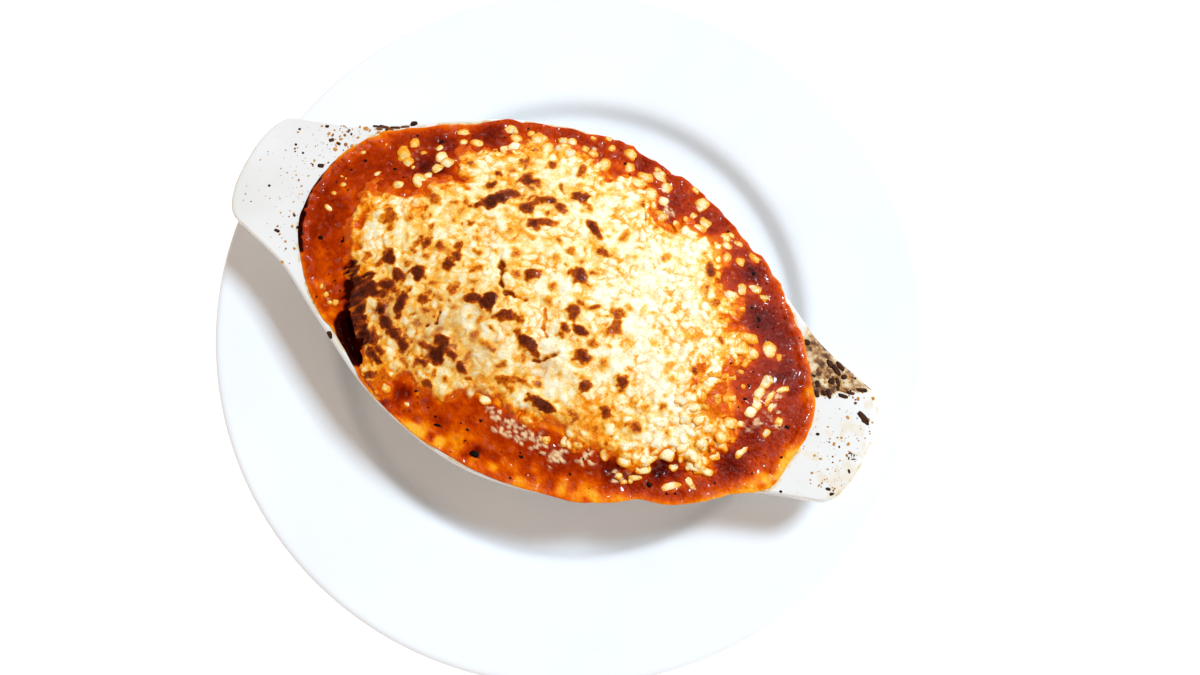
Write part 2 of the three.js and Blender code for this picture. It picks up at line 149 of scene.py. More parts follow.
# Places where orange fat has soaked into the cheese: u, v, radius, how much.
oilyPlaces = [
    (-74, 4, 6, 0.5), (-76, -3, 4, 0.3), (-73, -14, 4, 0.3), (-58, -44, 5, 0.3), (-40, -52, 7, 0.45),
    (-47, -50, 5, 0.4), (-30, -48, 6, 0.35), (5, -43, 8, 0.35), (20, -42, 8, 0.3), (35, -42, 6, 0.3),
    (64, -1, 9, 0.9), (68, -6, 8, 0.8), (57, -3, 6, 0.5), (70, 3, 6, 0.8), (74, -9, 5, 0.5),
    (36, -34, 13, 0.14), (50, -32, 9, 0.12), (25, -37, 8, 0.12), (70, -14, 5, 0.25), (60, 22, 4, 0.3),
    (25, 42, 4, 0.3), (-14, 54, 5, 0.25), (-72, -28, 6, 0.4), (10, 52, 5, 0.2), (46, 44, 5, 0.25),
    (-34, 52, 5, 0.25), (76, -24, 6, 0.25),
]

# Places where the cheese has dried thin and dull, its dull beige also being painted shade at the lower left,
# where the mound turns from the light: u, v, radius, how much.
dullShadePlaces = [
    (-30, -30, 16, 0.42), (-10, -30, 12, 0.38), (8, -20, 9, 0.32), (-50, -32, 10, 0.42),
    (-20, -18, 12, 0.25), (14, -24, 7, 0.3), (28, -37, 9, 0.2), (-6, -42, 6, 0.3), (-28, 12, 8, 0.2),
    (-24, 32, 5, 0.25), (-48, -8, 9, 0.2),
]

# Cracks where the sauce shows through the cheese: width, then the line.
cracks = [
    (1.0, [(-18.5, 2.5), (-16.5, -0.5), (-15.5, -4), (-12.5, -6.6), (-9, -6.4), (-5, -6.2)]),
    (0.5, [(2.8, -5.8), (4.6, -9), (5.4, -12.5), (8, -14.6)]),
    (0.8, [(-30, -22.5), (-29.6, -26), (-32.5, -28.6)]),
    (0.5, [(-40, -29), (-36, -28)]),
    (0.6, [(-14, 38.6), (-12.6, 37), (-11, 35.8)]),
    (0.6, [(16, 45.5), (18, 42.8), (19.4, 40.4)]),
    (0.9, [(-8, -43), (-4.5, -40.5)]),
    (0.8, [(54, -34), (52.5, -38), (50.5, -41)]),
    (0.6, [(69, -17), (73.5, -22), (75, -24)]),
    (1.3, [(7, -23.6), (10, -22.4), (13.6, -18.6)]),
]

# Where the cheese is still in separate shreds, not melted flat: u, v, radius, how much.
loosePlaces = [
    (75, -20, 24, 1.0), (60, -36, 24, 0.9), (72, 14, 16, 0.9), (58, 34, 16, 0.9), (40, 48, 18, 0.9),
    (10, 54, 22, 0.8), (-20, 56, 20, 0.8), (-42, 46, 14, 0.7), (-58, 30, 10, 0.5), (64, 0, 14, 0.7),
    (32, -44, 14, 0.5), (45, 18, 26, 0.35), (50, -20, 20, 0.3), (0, -44, 10, 0.3), (-40, -52, 10, 0.3),
]

# Scorched patch at the lower left, the hollow below it, painted black for its shadow, and the burnt line
# along the left edge.
scorchPlaces = [
    (-67, -22, 5, 0.8), (-62, -23, 6, 0.9), (-57, -25.5, 5, 0.8), (-64, -29, 5, 0.9), (-60, -31, 5, 0.7),
    (-62, -36, 4, 0.9), (-55, -43, 3.5, 0.6), (-54, -49.5, 3, 0.9), (-50, -30, 3, 0.9), (-58, -19, 4, 0.4),
    (-66, -33, 4, 0.7), (-58, -39.5, 3.5, 0.8), (-52, -41.5, 3.5, 0.8), (-53, -25, 3.5, 0.6),
    (-69, -20, 3.5, 0.6), (-57, -34, 4, 0.9), (-53.5, -38.5, 3.5, 0.8), (-58.5, -37, 4, 1.0),
    (-53, -42, 3.5, 0.9), (-62, -31, 4, 0.9), (-49, -46, 3, 0.8), (-64, -26, 4, 0.8),
]
shadedHollow = [
    (-65, -37.2), (-62.4, -34), (-58.8, -37), (-55.4, -41.4), (-52.6, -44.4), (-49, -46.8), (-48.6, -50),
    (-52.5, -51), (-56.6, -48.2), (-61, -45), (-65, -40.6),
]
burntEdge = [(-96.8, 12), (-98, 3), (-97.4, -5), (-95.4, -12), (-92.6, -18.5), (-90, -22.5)]

# Loose crumbs and shreds of cheese on the sauce: u, v, length, width, turn in degrees, how golden.
crumbRows = [
    (65.2, 0.2, 4.6, 1.6, 20, 0.7), (67.9, 1.2, 4.2, 1.8, 30, 0.6), (70.3, 2.6, 4, 1.8, 20, 0.65),
    (62.5, -3, 4, 1.8, 60, 0.6), (69.1, -6.5, 3.6, 2.6, 20, 0.55), (71.8, -5.3, 3, 2.2, 0, 0.6),
    (73.8, -3.8, 3.2, 2.6, 0, 0.5), (64, -7.5, 4, 2, -40, 0.6), (60.5, -7, 3.6, 2.2, 70, 0.5),
    (66.5, -11, 3.4, 2, 20, 0.6), (75.4, 1.8, 2.4, 1.6, 0, 0.6), (72.6, 6, 2.6, 1.6, 0, 0.7),
    (-70.5, 31.2, 5, 3.5, -60, 0.55), (-73.5, 28.2, 3, 2.4, 0, 0.6), (-71.5, 25.8, 6, 4.5, -30, 0.5),
    (-68.8, 23.6, 4.5, 4, 20, 0.42), (-66, 22.5, 2.2, 2, 0, 0.5), (-65.5, 29.5, 3, 1.6, 0, 0.6),
    (-58.4, 30.4, 4.6, 4.6, 20, 0.14), (-55.4, 29, 4.2, 4.2, 60, 0.16), (-61.2, 33.5, 3.4, 2.4, 80, 0.3),
    (-57.5, 25.5, 4, 3.6, 60, 0.25), (-60.5, 18.3, 6.5, 4, -15, 0.15), (-59, 21.5, 3.5, 3, 40, 0.2),
    (-67, 14.2, 4.5, 3, 20, 0.25), (-77, 14.8, 3, 2.2, 40, 0.35), (-86.5, 20.8, 2.6, 2.2, 0, 0.4),
    (-80.3, 27, 1.6, 1.2, 0, 0.45), (-86.2, 6.2, 3.4, 1.8, 10, 0.4), (-88.7, 8.8, 2, 1.2, 0, 0.4),
    (-87, 8.6, 1.4, 1.2, 0, 0.4), (-88, 1.8, 2.4, 1.8, 0, 0.5), (-86.8, -4, 4.2, 2, -10, 0.2),
    (-56.5, 43.4, 5, 2.6, 25, 0.3), (-54.5, 39.6, 3, 3, 70, 0.35), (-49.5, 41.5, 5, 3, 0, 0.3),
    (-41.5, 52, 5, 4.2, 20, 0.3), (-37.8, 49.5, 5.5, 3, -10, 0.3), (-34, 54, 3.5, 3, 0, 0.4),
    (-36.3, 45.4, 5, 4.6, 0, 0.06), (-39.5, 43.4, 3.4, 2.6, 30, 0.2), (-30, 52, 6, 5, 40, 0.3),
    (-25.5, 50, 4.5, 5, 0, 0.25), (-21.8, 56, 3.6, 3.4, 30, 0.25), (-18.8, 57, 3.4, 3.8, 30, 0.2),
    (-21.5, 52.2, 3.4, 3, 90, 0.15), (-16.8, 52, 6, 3.6, -25, 0.12), (-13, 63, 3, 1.8, 20, 0.4),
    (-10, 56.5, 4, 3, 0, 0.35), (-13.5, 57, 3, 3, 0, 0.35), (-4.2, 53.8, 5, 4, 70, 0.3),
    (-5, 62, 3.4, 2.4, 80, 0.4), (-7.5, 65, 3, 1.6, 0, 0.35), (2.5, 63.3, 5, 3.6, -20, 0.35),
    (4.5, 57.2, 5, 3, 110, 0.3), (11, 56.8, 5.5, 3.6, 15, 0.35), (15.5, 59.6, 5.5, 3.2, -35, 0.15),
    (13.8, 62, 3, 2, 0, 0.35), (19.6, 56.6, 3.6, 3.6, 0, 0.04), (21.2, 51, 3.8, 3.6, 90, 0.1),
    (9, 52.5, 7, 4, 20, 0.15), (16, 50.5, 4.5, 4.5, 0, 0.15), (22.5, 44.5, 4.5, 4, 20, 0.3),
    (34, 57.2, 4.8, 4.4, -20, 0.22), (29.5, 61.2, 4, 1.8, -20, 0.35), (33, 51, 3, 2.2, 70, 0.3),
    (38.2, 50.5, 4.2, 3.4, -10, 0.2), (36.5, 47.5, 6, 3, 10, 0.25), (47, 49, 4, 3.6, 20, 0.3),
    (48.4, 51.2, 3, 1.8, 0, 0.3), (52.3, 49.3, 3.6, 2, 15, 0.3), (48.7, 46.4, 3.8, 2.8, -20, 0.15),
    (50.6, 42, 4, 3, 80, 0.2), (55.5, 43.2, 3.6, 3, 0, 0.4), (60, 47.2, 5, 2, -10, 0.45),
    (64, 36, 5.5, 2.8, 10, 0.3), (68.5, 34.8, 3.6, 2, 5, 0.35), (60.5, 33.4, 4.6, 3, 110, 0.25),
    (58, 29, 4, 3.6, 0, 0.1), (70, 17.8, 7, 3, 15, 0.4), (78.5, 17.8, 5, 4.6, 0, 0.2),
    (82.5, 17.2, 2.6, 2, 90, 0.4), (73.5, 13.8, 4.5, 3.4, 0, 0.18), (82.2, 7, 5, 3.4, 80, 0.12),
    (88, 7, 6, 2, 35, 0.22), (81.8, 2.4, 4.6, 3, 85, 0.1), (82.4, -1.4, 4.4, 3, -30, 0.12),
    (85.5, 2.6, 5.5, 2.2, 80, 0.2), (87.5, 0, 3.4, 2.2, 80, 0.25), (92.2, -3.2, 3, 2.6, 0, 0.3),
    (81.8, -5, 4.2, 4, 0, 0.06), (89.8, -8.8, 3.2, 2.2, 70, 0.2), (77, -12.2, 5, 3.8, 20, 0.22),
    (80.4, -10.2, 2.6, 2.2, 0, 0.2), (76.5, -17.5, 4.5, 3.6, -30, 0.18), (84.8, -18.5, 5, 2.4, 70, 0.12),
    (71.5, -22.8, 4, 3.6, 0, 0.08), (76.5, -24.5, 5, 3, 30, 0.2), (66, -26.5, 5, 3.2, 60, 0.1),
    (70.5, -27.5, 5, 2.8, -40, 0.1), (72, -31, 5, 2.6, 10, 0.12), (77, -30.4, 4.4, 2.4, 0, 0.15),
    (62, -31, 5, 4.6, 0, 0.06), (66.2, -33.8, 3.2, 2.6, 60, 0.25), (57.5, -35, 7.5, 3, 65, 0.1),
    (72.5, -35.5, 5.5, 2.2, -35, 0.18), (74.6, -37, 3.4, 1.6, -30, 0.3), (68, -40.2, 6.5, 2.6, 40, 0.14),
    (57, -39.5, 5, 3, 20, 0.14), (50, -40, 4.5, 3, 10, 0.1), (55.6, -43, 5, 2.4, 35, 0.25),
    (50.4, -45, 2.6, 2.2, 0, 0.3), (52.8, -46, 2.4, 1.8, 30, 0.3), (29, -42.6, 4.4, 3.6, 20, 0.1),
    (33, -42, 3, 2.4, 0, 0.25), (22.4, -45, 3, 2.6, 0, 0.25), (-2.5, -42, 4.5, 3.4, 20, 0.12),
    (-68, -33.6, 3, 2.4, 60, 0.5), (-27.5, -55, 2.6, 2, 0, 0.3), (-37, -53.5, 3, 2.6, 0, 0.35),
    (-72.5, -32.5, 3.4, 2.2, 60, 0.38), (-75.5, -30.5, 3, 1.8, 100, 0.42), (-70, -34.5, 2.6, 2, 0, 0.4),
    (63.6, -13, 5, 3, 20, 0.08), (58.6, -13, 4.6, 2.6, 20, 0.06), (67, -16, 4.4, 3.2, 60, 0.12),
    (62.5, -17.5, 5, 3, -30, 0.1), (66, 1.5, 2.2, 1.4, 60, 0.4), (61, 2.6, 3, 2, 10, 0.3),
    (69, -6, 2.4, 2, 0, 0.35),
]
print("scene: plan read")


def hexColor(text):  # sRGB hex to linear
    parts = [int(text[i:i + 2], 16) / 255 for i in (1, 3, 5)]
    return [c / 12.92 if c <= 0.04045 else ((c + 0.055) / 1.055) ** 2.4 for c in parts] + [1.0]


def newMaterial(name, **inputs):
    mat = bpy.data.materials.new(name)
    mat.use_nodes = True
    shader = mat.node_tree.nodes["Principled BSDF"]
    for key, value in inputs.items():
        shader.inputs[key.replace("_", " ")].default_value = value
    return mat, shader


def addNode(mat, kind, out, inputs=None, stops=None, **settings):  # gives back the node's output called out
    made = mat.node_tree.nodes.new(kind)
    for name, value in settings.items():
        setattr(made, name, value)
    for name, value in (inputs or {}).items():
        if isinstance(value, bpy.types.NodeSocket):
            mat.node_tree.links.new(value, made.inputs[name])
        else:
            made.inputs[name].default_value = value
    for i, (place, color) in enumerate(stops or []):
        ramp = made.color_ramp.elements
        element = ramp.new(place) if 0 < i < len(stops) - 1 else ramp[min(i, 1) * (len(ramp) - 1)]
        element.position = place
        element.color = hexColor(color)
    return made.outputs[out]


def joinNodes(mat, output, target):
    mat.node_tree.links.new(output, target)


def lumpScale(size):  # noise scale that gives lumps of a size in mm
    return 1 / (size * mm)


def smoothstep(low, high, x):
    t = np.clip((x - low) / (high - low), 0, 1)
    return t * t * (3 - 2 * t)


# Random fields: how many values a table has each way, its shift, and how far a pellet strays in its cell.
noiseSet = {"table": 256, "shift": (97.3, 61.7), "lattice": 128, "jitter": 0.36}


def softNoise(u, v, size, seed):  # smooth random field, about -1 to 1, with lumps of the given size in mm
    cells, (shiftU, shiftV) = noiseSet["table"], noiseSet["shift"]
    table = np.random.default_rng(seed).uniform(-1, 1, (cells, cells))
    x, y = u / size + shiftU, v / size + shiftV
    i, j = np.floor(x).astype(int), np.floor(y).astype(int)
    fx, fy = x - i, y - j
    fx, fy = fx ** 3 * (fx * (fx * 6 - 15) + 10), fy ** 3 * (fy * (fy * 6 - 15) + 10)
    low = table[i % cells, j % cells] * (1 - fx) + table[(i + 1) % cells, j % cells] * fx
    high = table[i % cells, (j + 1) % cells] * (1 - fx) + table[(i + 1) % cells, (j + 1) % cells] * fx
    return (low * (1 - fy) + high * fy) * 1.5


def layeredNoise(u, v, size, seed, layers=3):
    return sum(softNoise(u, v, size / 2 ** k, seed + k) / 2 ** k for k in range(layers)) / 1.4


def pelletField(u, v, size, seed, stretch):
    # nearest pellet of a jittered lattice: how far off in pellet sizes, how far from the border with the
    # next one, and its own random number
    rng, cells, jitter = np.random.default_rng(seed), noiseSet["lattice"], noiseSet["jitter"]
    place = rng.uniform(-jitter, jitter, (cells, cells, 2))
    shape = rng.uniform(0, 1, (cells, cells, 3))
    i, j = np.floor(u / size).astype(int), np.floor(v / size).astype(int)
    best, second, rank = np.full(u.shape, 9.0), np.full(u.shape, 9.0), np.zeros_like(u)
    for di in (-1, 0, 1):
        for dj in (-1, 0, 1):
            at = (i + di) % cells, (j + dj) % cells
            du = u - (i + di + 0.5 + place[at][..., 0]) * size
            dv = v - (j + dj + 0.5 + place[at][..., 1]) * size
            turn, longer = shape[at][..., 0] * math.pi, 1 + stretch * shape[at][..., 1]
            a = (du * np.cos(turn) + dv * np.sin(turn)) / longer
            away = np.hypot(a, dv * np.cos(turn) - du * np.sin(turn)) / size
            nearer = away < best
            second = np.where(nearer, best, np.minimum(second, away))
            best = np.where(nearer, away, best)
            rank = np.where(nearer, shape[at][..., 2], rank)
    return best, second - best, rank


def closedCurve(points, each=6):  # smooth closed line through the points
    p = np.array(points, float)
    t = np.linspace(0, 1, each, endpoint=False)[:, None]
    rows = []
    for k in range(len(p)):
        a, b, c, d = p[k - 1], p[k], p[(k + 1) % len(p)], p[(k + 2) % len(p)]
        bend = (2 * a - 5 * b + 4 * c - d) * t ** 2 + (3 * b - a - 3 * c + d) * t ** 3
        rows.append(0.5 * (2 * b + (c - a) * t + bend))
    return np.concatenate(rows)


def lineDistance(u, v, points, closed=False):
    p = np.array(points, float)
    ends = np.roll(p, -1, axis=0) if closed else p[1:]
    near = np.full(u.shape, 1e9)
    for (au, av), (bu, bv) in zip(p if closed else p[:-1], ends):
        du, dv = bu - au, bv - av
        t = np.clip(((u - au) * du + (v - av) * dv) / (du * du + dv * dv), 0, 1)
        near = np.minimum(near, (u - au - t * du) ** 2 + (v - av - t * dv) ** 2)
    return np.sqrt(near)


def insideDistance(u, v, curve):  # mm inside a closed line, negative outside
    inside = np.zeros(u.shape, bool)
    for (au, av), (bu, bv) in zip(curve, np.roll(curve, -1, axis=0)):
        crosses = (av > v) != (bv > v)
        inside ^= crosses & (u < au + (bu - au) * (v - av) / (bv - av if bv != av else 1e-9))
    return np.where(inside, 1, -1) * lineDistance(u, v, curve, closed=True)


def insideAt(u, v, curve):  # the same for one place
    return insideDistance(*np.array([[u, v]], float).T, curve)[0]


def reachOf(curve):  # distance from the dish's centre to a closed line, by angle
    angle = np.arctan2(curve[:, 1], curve[:, 0])
    order = np.argsort(angle)
    angle, reach = angle[order], np.hypot(curve[:, 0], curve[:, 1])[order]
    around = np.r_[angle - math.tau, angle, angle + math.tau]
    return lambda a: np.interp(a, around, np.tile(reach, 3))


def ovalReach(a, halfLength, halfWidth, power=2.0):
    u, v = np.abs(np.cos(a)) / halfLength, np.abs(np.sin(a)) / halfWidth
    return (u ** power + v ** power) ** (-1 / power)


def waverLine(curve):
    u, v = curve.T
    share = spillWaver["all"] + spillWaver["far"] * smoothstep(5, 40, v)
    return curve * (1 + share * softNoise(u, v, spillWaver["size"], 99))[:, None]


rimCurve = closedCurve(
    rimQuarter + [(0, 66.5)] + [(-u, v) for u, v in rimQuarter[:0:-1]] + [(-125, 0)]
    + [(-u, -v) for u, v in rimQuarter[1:]] + [(0, -66.5)] + [(u, -v) for u, v in rimQuarter[:0:-1]])
spillCurve = waverLine(closedCurve(spillOutline))
cheeseCurve = closedCurve(cheeseOutline, 4)
rimReach, spillReach = reachOf(rimCurve), reachOf(spillCurve)


def mouthReach(a):
    return ovalReach(a, *dishPlan["mouth"], dishPlan["mouthPower"])


def wallReach(a, height):  # outside of the dish's wall
    rise = ((height - dishPlan["stands"]) / (rimHeight - dishPlan["stands"])) ** 0.8
    low, high = ovalReach(a, *dishPlan["base"]), mouthReach(a) + dishPlan["wall"]
    return low + (high - low) * rise


def moundHeight(u, v):  # smooth top of the food, mm from the table
    out = np.hypot(u, v) / (mouthReach(np.arctan2(v, u)) + 1.4)
    return rimHeight + 0.6 + dishPlan["mound"] * np.clip(1 - out * out, 0, 1) ** 1.25


def softSpots(u, v, places):
    return sum(amount * np.exp(-2 * ((u - a) ** 2 + (v - b) ** 2) / r ** 2) for a, b, r, amount in places)


def scorchField(u, v):  # streaks of char, 0 to 1
    streaks = softNoise(0.5 * (u + v), 1.4 * (v - u), 2.0, 87)
    patchy = 1 + 0.4 * softNoise(u, v, 3.5, 86) + 0.4 * streaks
    return smoothstep(0.3, 0.9, softSpots(u, v, scorchPlaces) * patchy)


def holeDistance(u, v):  # mm inside the hollow's uneven edge; the hollow is painted black for its shadow
    return insideDistance(u, v, shadedHollow) + 0.4 * softNoise(u, v, 2.6, 94)


def crumbDistance(u, v):  # mm outside the nearest loose crumb, 9 at most
    near = np.full(u.shape, 9.0)
    for cu, cv, length, width, _, _ in crumbRows:
        close = np.flatnonzero((np.abs(u - cu) < 7) & (np.abs(v - cv) < 7))
        near[close] = np.minimum(near[close], np.hypot(u[close] - cu, v[close] - cv) - (length + width) / 4)
    return near


def ringPoints(spokes, reach, height):  # one level ring of a loft, its points spaced as on an ellipse
    t = np.linspace(0, math.tau, spokes, endpoint=False)
    a = np.arctan2(np.sin(t) * dishPlan["mouth"][1], np.cos(t) * dishPlan["mouth"][0])
    r = reach(a)
    return np.stack([r * np.cos(a), r * np.sin(a), np.full(spokes, float(height))], 1)


def inMetres(points):
    return (points + [*dishPlan["centre"], 0]) * mm


def loftRings(spokes, rings):  # closed body through the rings, with both ends drawn to their middles
    bm = bmesh.new()
    spoke = bm.verts.layers.int.new("spoke")
    bmesh.ops.create_circle(bm, cap_ends=False, segments=spokes, radius=1)
    first = inMetres(rings[0])
    for k, vert in enumerate(bm.verts):
        vert[spoke] = k
        vert.co = first[k]
    startEdges = bm.edges[:]
    edges = startEdges
    for ring in rings[1:]:
        places = inMetres(ring)
        grown = bmesh.ops.extrude_edge_only(bm, edges=edges)["geom"]
        fresh = {g for g in grown if isinstance(g, bmesh.types.BMVert)}
        for vert in fresh:
            vert.co = places[vert[spoke]]
        edges = [g for g in grown if isinstance(g, bmesh.types.BMEdge) and fresh.issuperset(g.verts)]
    for rim, ring in ((startEdges, rings[0]), (edges, rings[-1])):
        grown = bmesh.ops.extrude_edge_only(bm, edges=rim)["geom"]
        fresh = [g for g in grown if isinstance(g, bmesh.types.BMVert)]
        bmesh.ops.pointmerge(bm, verts=fresh, merge_co=Vector(inMetres(ring.mean(0))))
    bmesh.ops.recalc_face_normals(bm, faces=bm.faces)
    bm.verts.layers.int.remove(spoke)
    return bm


def makePiece(name, bm, material, slotName, *nodes):
    mesh = bpy.data.meshes.new(name)
    bm.to_mesh(mesh)
    bm.free()
    mesh.polygons.foreach_set("use_smooth", [True] * len(mesh.polygons))
    piece = bpy.data.objects.new(name, mesh)
    scene.collection.objects.link(piece)
    mesh.materials.append(material)
    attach(piece, "root")
    if nodes:
        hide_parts(*nodes)
    print("scene:", name, len(mesh.polygons), "faces")
    return piece


def planPlaces(mesh):  # a mesh's points as u, v and z in mm
    co = np.empty(len(mesh.vertices) * 3)
    mesh.vertices.foreach_get("co", co)
    co = co.reshape(-1, 3) / mm
    return co[:, 0] - dishPlan["centre"][0], co[:, 1] - dishPlan["centre"][1], co[:, 2]


def setField(mesh, name, values):
    field = mesh.attributes.new(name, "FLOAT", "POINT")
    field.data.foreach_set("value", np.asarray(values, dtype=np.float32))


# Camera at the photograph's angle, about half a metre over the plate
cameraSet = {
    "place": (0.06967, -0.09628, 0.50772), "turns": (30.57, 12.72, -4.38),  # metres, and degrees
    "lens": 39.81, "sensor": 36.0,
}


def addCamera():
    camera = bpy.data.cameras.new("camera")
    camera.lens = cameraSet["lens"]
    camera.sensor_width = cameraSet["sensor"]
    camera.dof.use_dof = False
    obj = bpy.data.objects.new("camera", camera)
    scene.collection.objects.link(obj)
    first, tilt, roll = (math.radians(t) for t in cameraSet["turns"])
    turned = Matrix.Rotation(first, 4, "Z") @ Matrix.Rotation(tilt, 4, "X") @ Matrix.Rotation(roll, 4, "Z")
    obj.matrix_world = Matrix.Translation(cameraSet["place"]) @ turned
    scene.camera = obj


addCamera()
print("scene: camera set")


# Dinner plate
plateSet = {
    "radius": 135.0, "height": 20.0, "steps": 72,
    "foot": 62.0, "footRise": 2.2, "well": 6.0,  # radius of the foot ring, and heights under and in the well
    "cloud": 35.71, "wave": 16.67,  # mm across the glaze's faint clouds and waves
}


def porcelainMaterial(name, color, shadeColor):
    # glazed porcelain: clean white body under a clear gloss, with the faintest unevenness in the glaze
    mat, shader = newMaterial(name, Roughness=0.24, IOR=1.5)
    place = addNode(mat, "ShaderNodeTexCoord", "Object")
    cloud = addNode(mat, "ShaderNodeTexNoise", "Fac",
                    {"Vector": place, "Scale": lumpScale(plateSet["cloud"]), "Detail": 4.0})
    tint = addNode(mat, "ShaderNodeValToRGB", "Color", {"Fac": cloud}, [(0.35, shadeColor), (0.62, color)])
    wave = addNode(mat, "ShaderNodeTexNoise", "Fac",
                   {"Vector": place, "Scale": lumpScale(plateSet["wave"]), "Detail": 2.0})
    bump = addNode(mat, "ShaderNodeBump", "Normal", {"Height": wave, "Strength": 0.08, "Distance": 0.6 * mm})
    joinNodes(mat, bump, shader.inputs["Normal"])
    return mat, shader, tint, place


def plateMaterial():
    mat, shader, tint, place = porcelainMaterial("glazed_plate_porcelain", "#EFF1F3", "#EBEEF1")
    # the foot ring is left unglazed where it stands, so it is a little grey there
    high = addNode(mat, "ShaderNodeSeparateXYZ", "Z", {"Vector": place})
    bare = addNode(mat, "ShaderNodeMath", 0, {0: high, 1: 0.5 * mm}, operation="LESS_THAN")
    both = addNode(mat, "ShaderNodeMix", "Result", {"Factor": bare, "A": tint, "B": hexColor("#D9D4CA")},
                   data_type="RGBA")
    joinNodes(mat, both, shader.inputs["Base Color"])
    return mat


def buildPlate():
    r, h = plateSet["radius"], plateSet["height"]
    foot, under, well = plateSet["foot"], plateSet["footRise"], plateSet["well"]
    profile = [
        (0, under), (40, under), (foot - 5, under), (foot - 3.6, 1.6), (foot - 2.7, 0.35), (foot - 1.8, 0),
        (foot + 1.8, 0), (foot + 2.7, 0.35), (foot + 3.6, 1.6), (foot + 5, under), (76, 2.35), (82, 2.9),
        (86, 5.2), (90, 8.6), (93, 10.4), (98, 11.8), (112, 13.5), (r - 9, h - 4.6), (r - 3, h - 3.6),
        (r - 0.8, h - 2.9), (r, h - 1.7), (r - 0.6, h - 0.4), (r - 2.2, h), (r - 4.5, h - 0.35),
        (r - 12, h - 1.2), (112, 17.4), (98, 15.95), (94, 15.4), (91.2, 14.6), (89, 12.6), (87.4, 9.7),
        (85.6, 7.5), (82.6, well + 0.4), (78.5, well + 0.05), (70, well), (40, well), (0, well),
    ]
    bm = bmesh.new()
    verts = [bm.verts.new((x * mm, 0, z * mm)) for x, z in profile]
    edges = [bm.edges.new(pair) for pair in zip(verts, verts[1:])]
    bmesh.ops.spin(bm, geom=verts + edges, cent=(0, 0, 0), axis=(0, 0, 1), angle=math.tau,
                   steps=plateSet["steps"], use_merge=True)
    bmesh.ops.remove_doubles(bm, verts=bm.verts, dist=1e-6)
    bmesh.ops.recalc_face_normals(bm, faces=bm.faces)
    piece = makePiece("dinner_plate", bm, plateMaterial(), "plate_porcelain", "plate")
    smooth = piece.modifiers.new("smooth", "SUBSURF")
    smooth.levels = smooth.render_levels = 2


buildPlate()


# Gratin dish
dishSet = {
    "spokes": 640, "rimRings": 30, "wallRings": 14,
    "rimIn": 1.6, "mouthOut": 1.3,  # how far the flat of the rim stops short of its edge and of the mouth
    "spot": 1.613,  # mm across the brown spots in the baked-on film
}


def dishMaterial():
    mat, shader, tint, place = porcelainMaterial("glazed_dish_porcelain", "#E9E8E5", "#E1DFDB")
    # fat and sauce baked on in the oven: a tan film with dark brown spots in it
    film = addNode(mat, "ShaderNodeAttribute", "Fac", attribute_name="film")
    spots = addNode(mat, "ShaderNodeTexNoise", "Fac",
                    {"Vector": place, "Scale": lumpScale(dishSet["spot"]), "Detail": 3.0})
    mixed = addNode(mat, "ShaderNodeMath", 0, {0: film, 1: spots}, operation="MULTIPLY")
    baked = addNode(mat, "ShaderNodeValToRGB", "Color", {"Fac": mixed}, [
        (0.0, "#E9E8E5"), (0.25, "#DDC9A2"), (0.45, "#A9783F"), (0.56, "#5F3418"), (0.7, "#3A1D0E")])
    cover = addNode(mat, "ShaderNodeMapRange", "Result", {"Value": film, "From Min": 0.03, "From Max": 0.3})
    both = addNode(mat, "ShaderNodeMix", "Result", {"Factor": cover, "A": tint, "B": baked},
                   data_type="RGBA")
    joinNodes(mat, both, shader.inputs["Base Color"])
    return mat


def filmField(u, v):  # how thickly the ears are filmed with baked-on fat
    fromEdge = rimReach(np.arctan2(v, u)) - np.hypot(u, v)
    above = (v - 11) - (u - 101) * 0.66
    right = smoothstep(-0.6, 0.8, above + 0.8 * softNoise(u, v, 2.5, 5)) * smoothstep(84, 90, u)
    film = right * (0.86 + 0.34 * softNoise(u, v, 3.2, 11) + 0.2 * smoothstep(104, 112, u))
    film = np.maximum(film, 0.26 * smoothstep(0.1, 0.9, layeredNoise(u, v, 5, 15)) * smoothstep(98, 106, u))
    film = np.maximum(film, 0.1 * smoothstep(0.2, 0.9, layeredNoise(u, v, 7, 19)) * smoothstep(96, 100, -u))
    worn = smoothstep(1.8, 0.2, fromEdge) * smoothstep(96, 100, -u)
    film = np.maximum(film, 0.45 * worn * smoothstep(-0.4, 0.5, softNoise(u, v, 3, 9)))
    tip = smoothstep(2.5, 0.3, fromEdge) * smoothstep(112, 118, u)
    film = np.maximum(film, 0.5 * tip * smoothstep(-0.1, 0.6, softNoise(u, v, 3, 8)))
    besideSauce = smoothstep(1.6, 0.2, np.abs(insideDistance(u, v, spillCurve)))
    besideSauce = besideSauce * smoothstep(0.0, 0.5, softNoise(u, v, 4, 3))
    return np.clip(np.maximum(film, 0.55 * besideSauce), 0, 1)


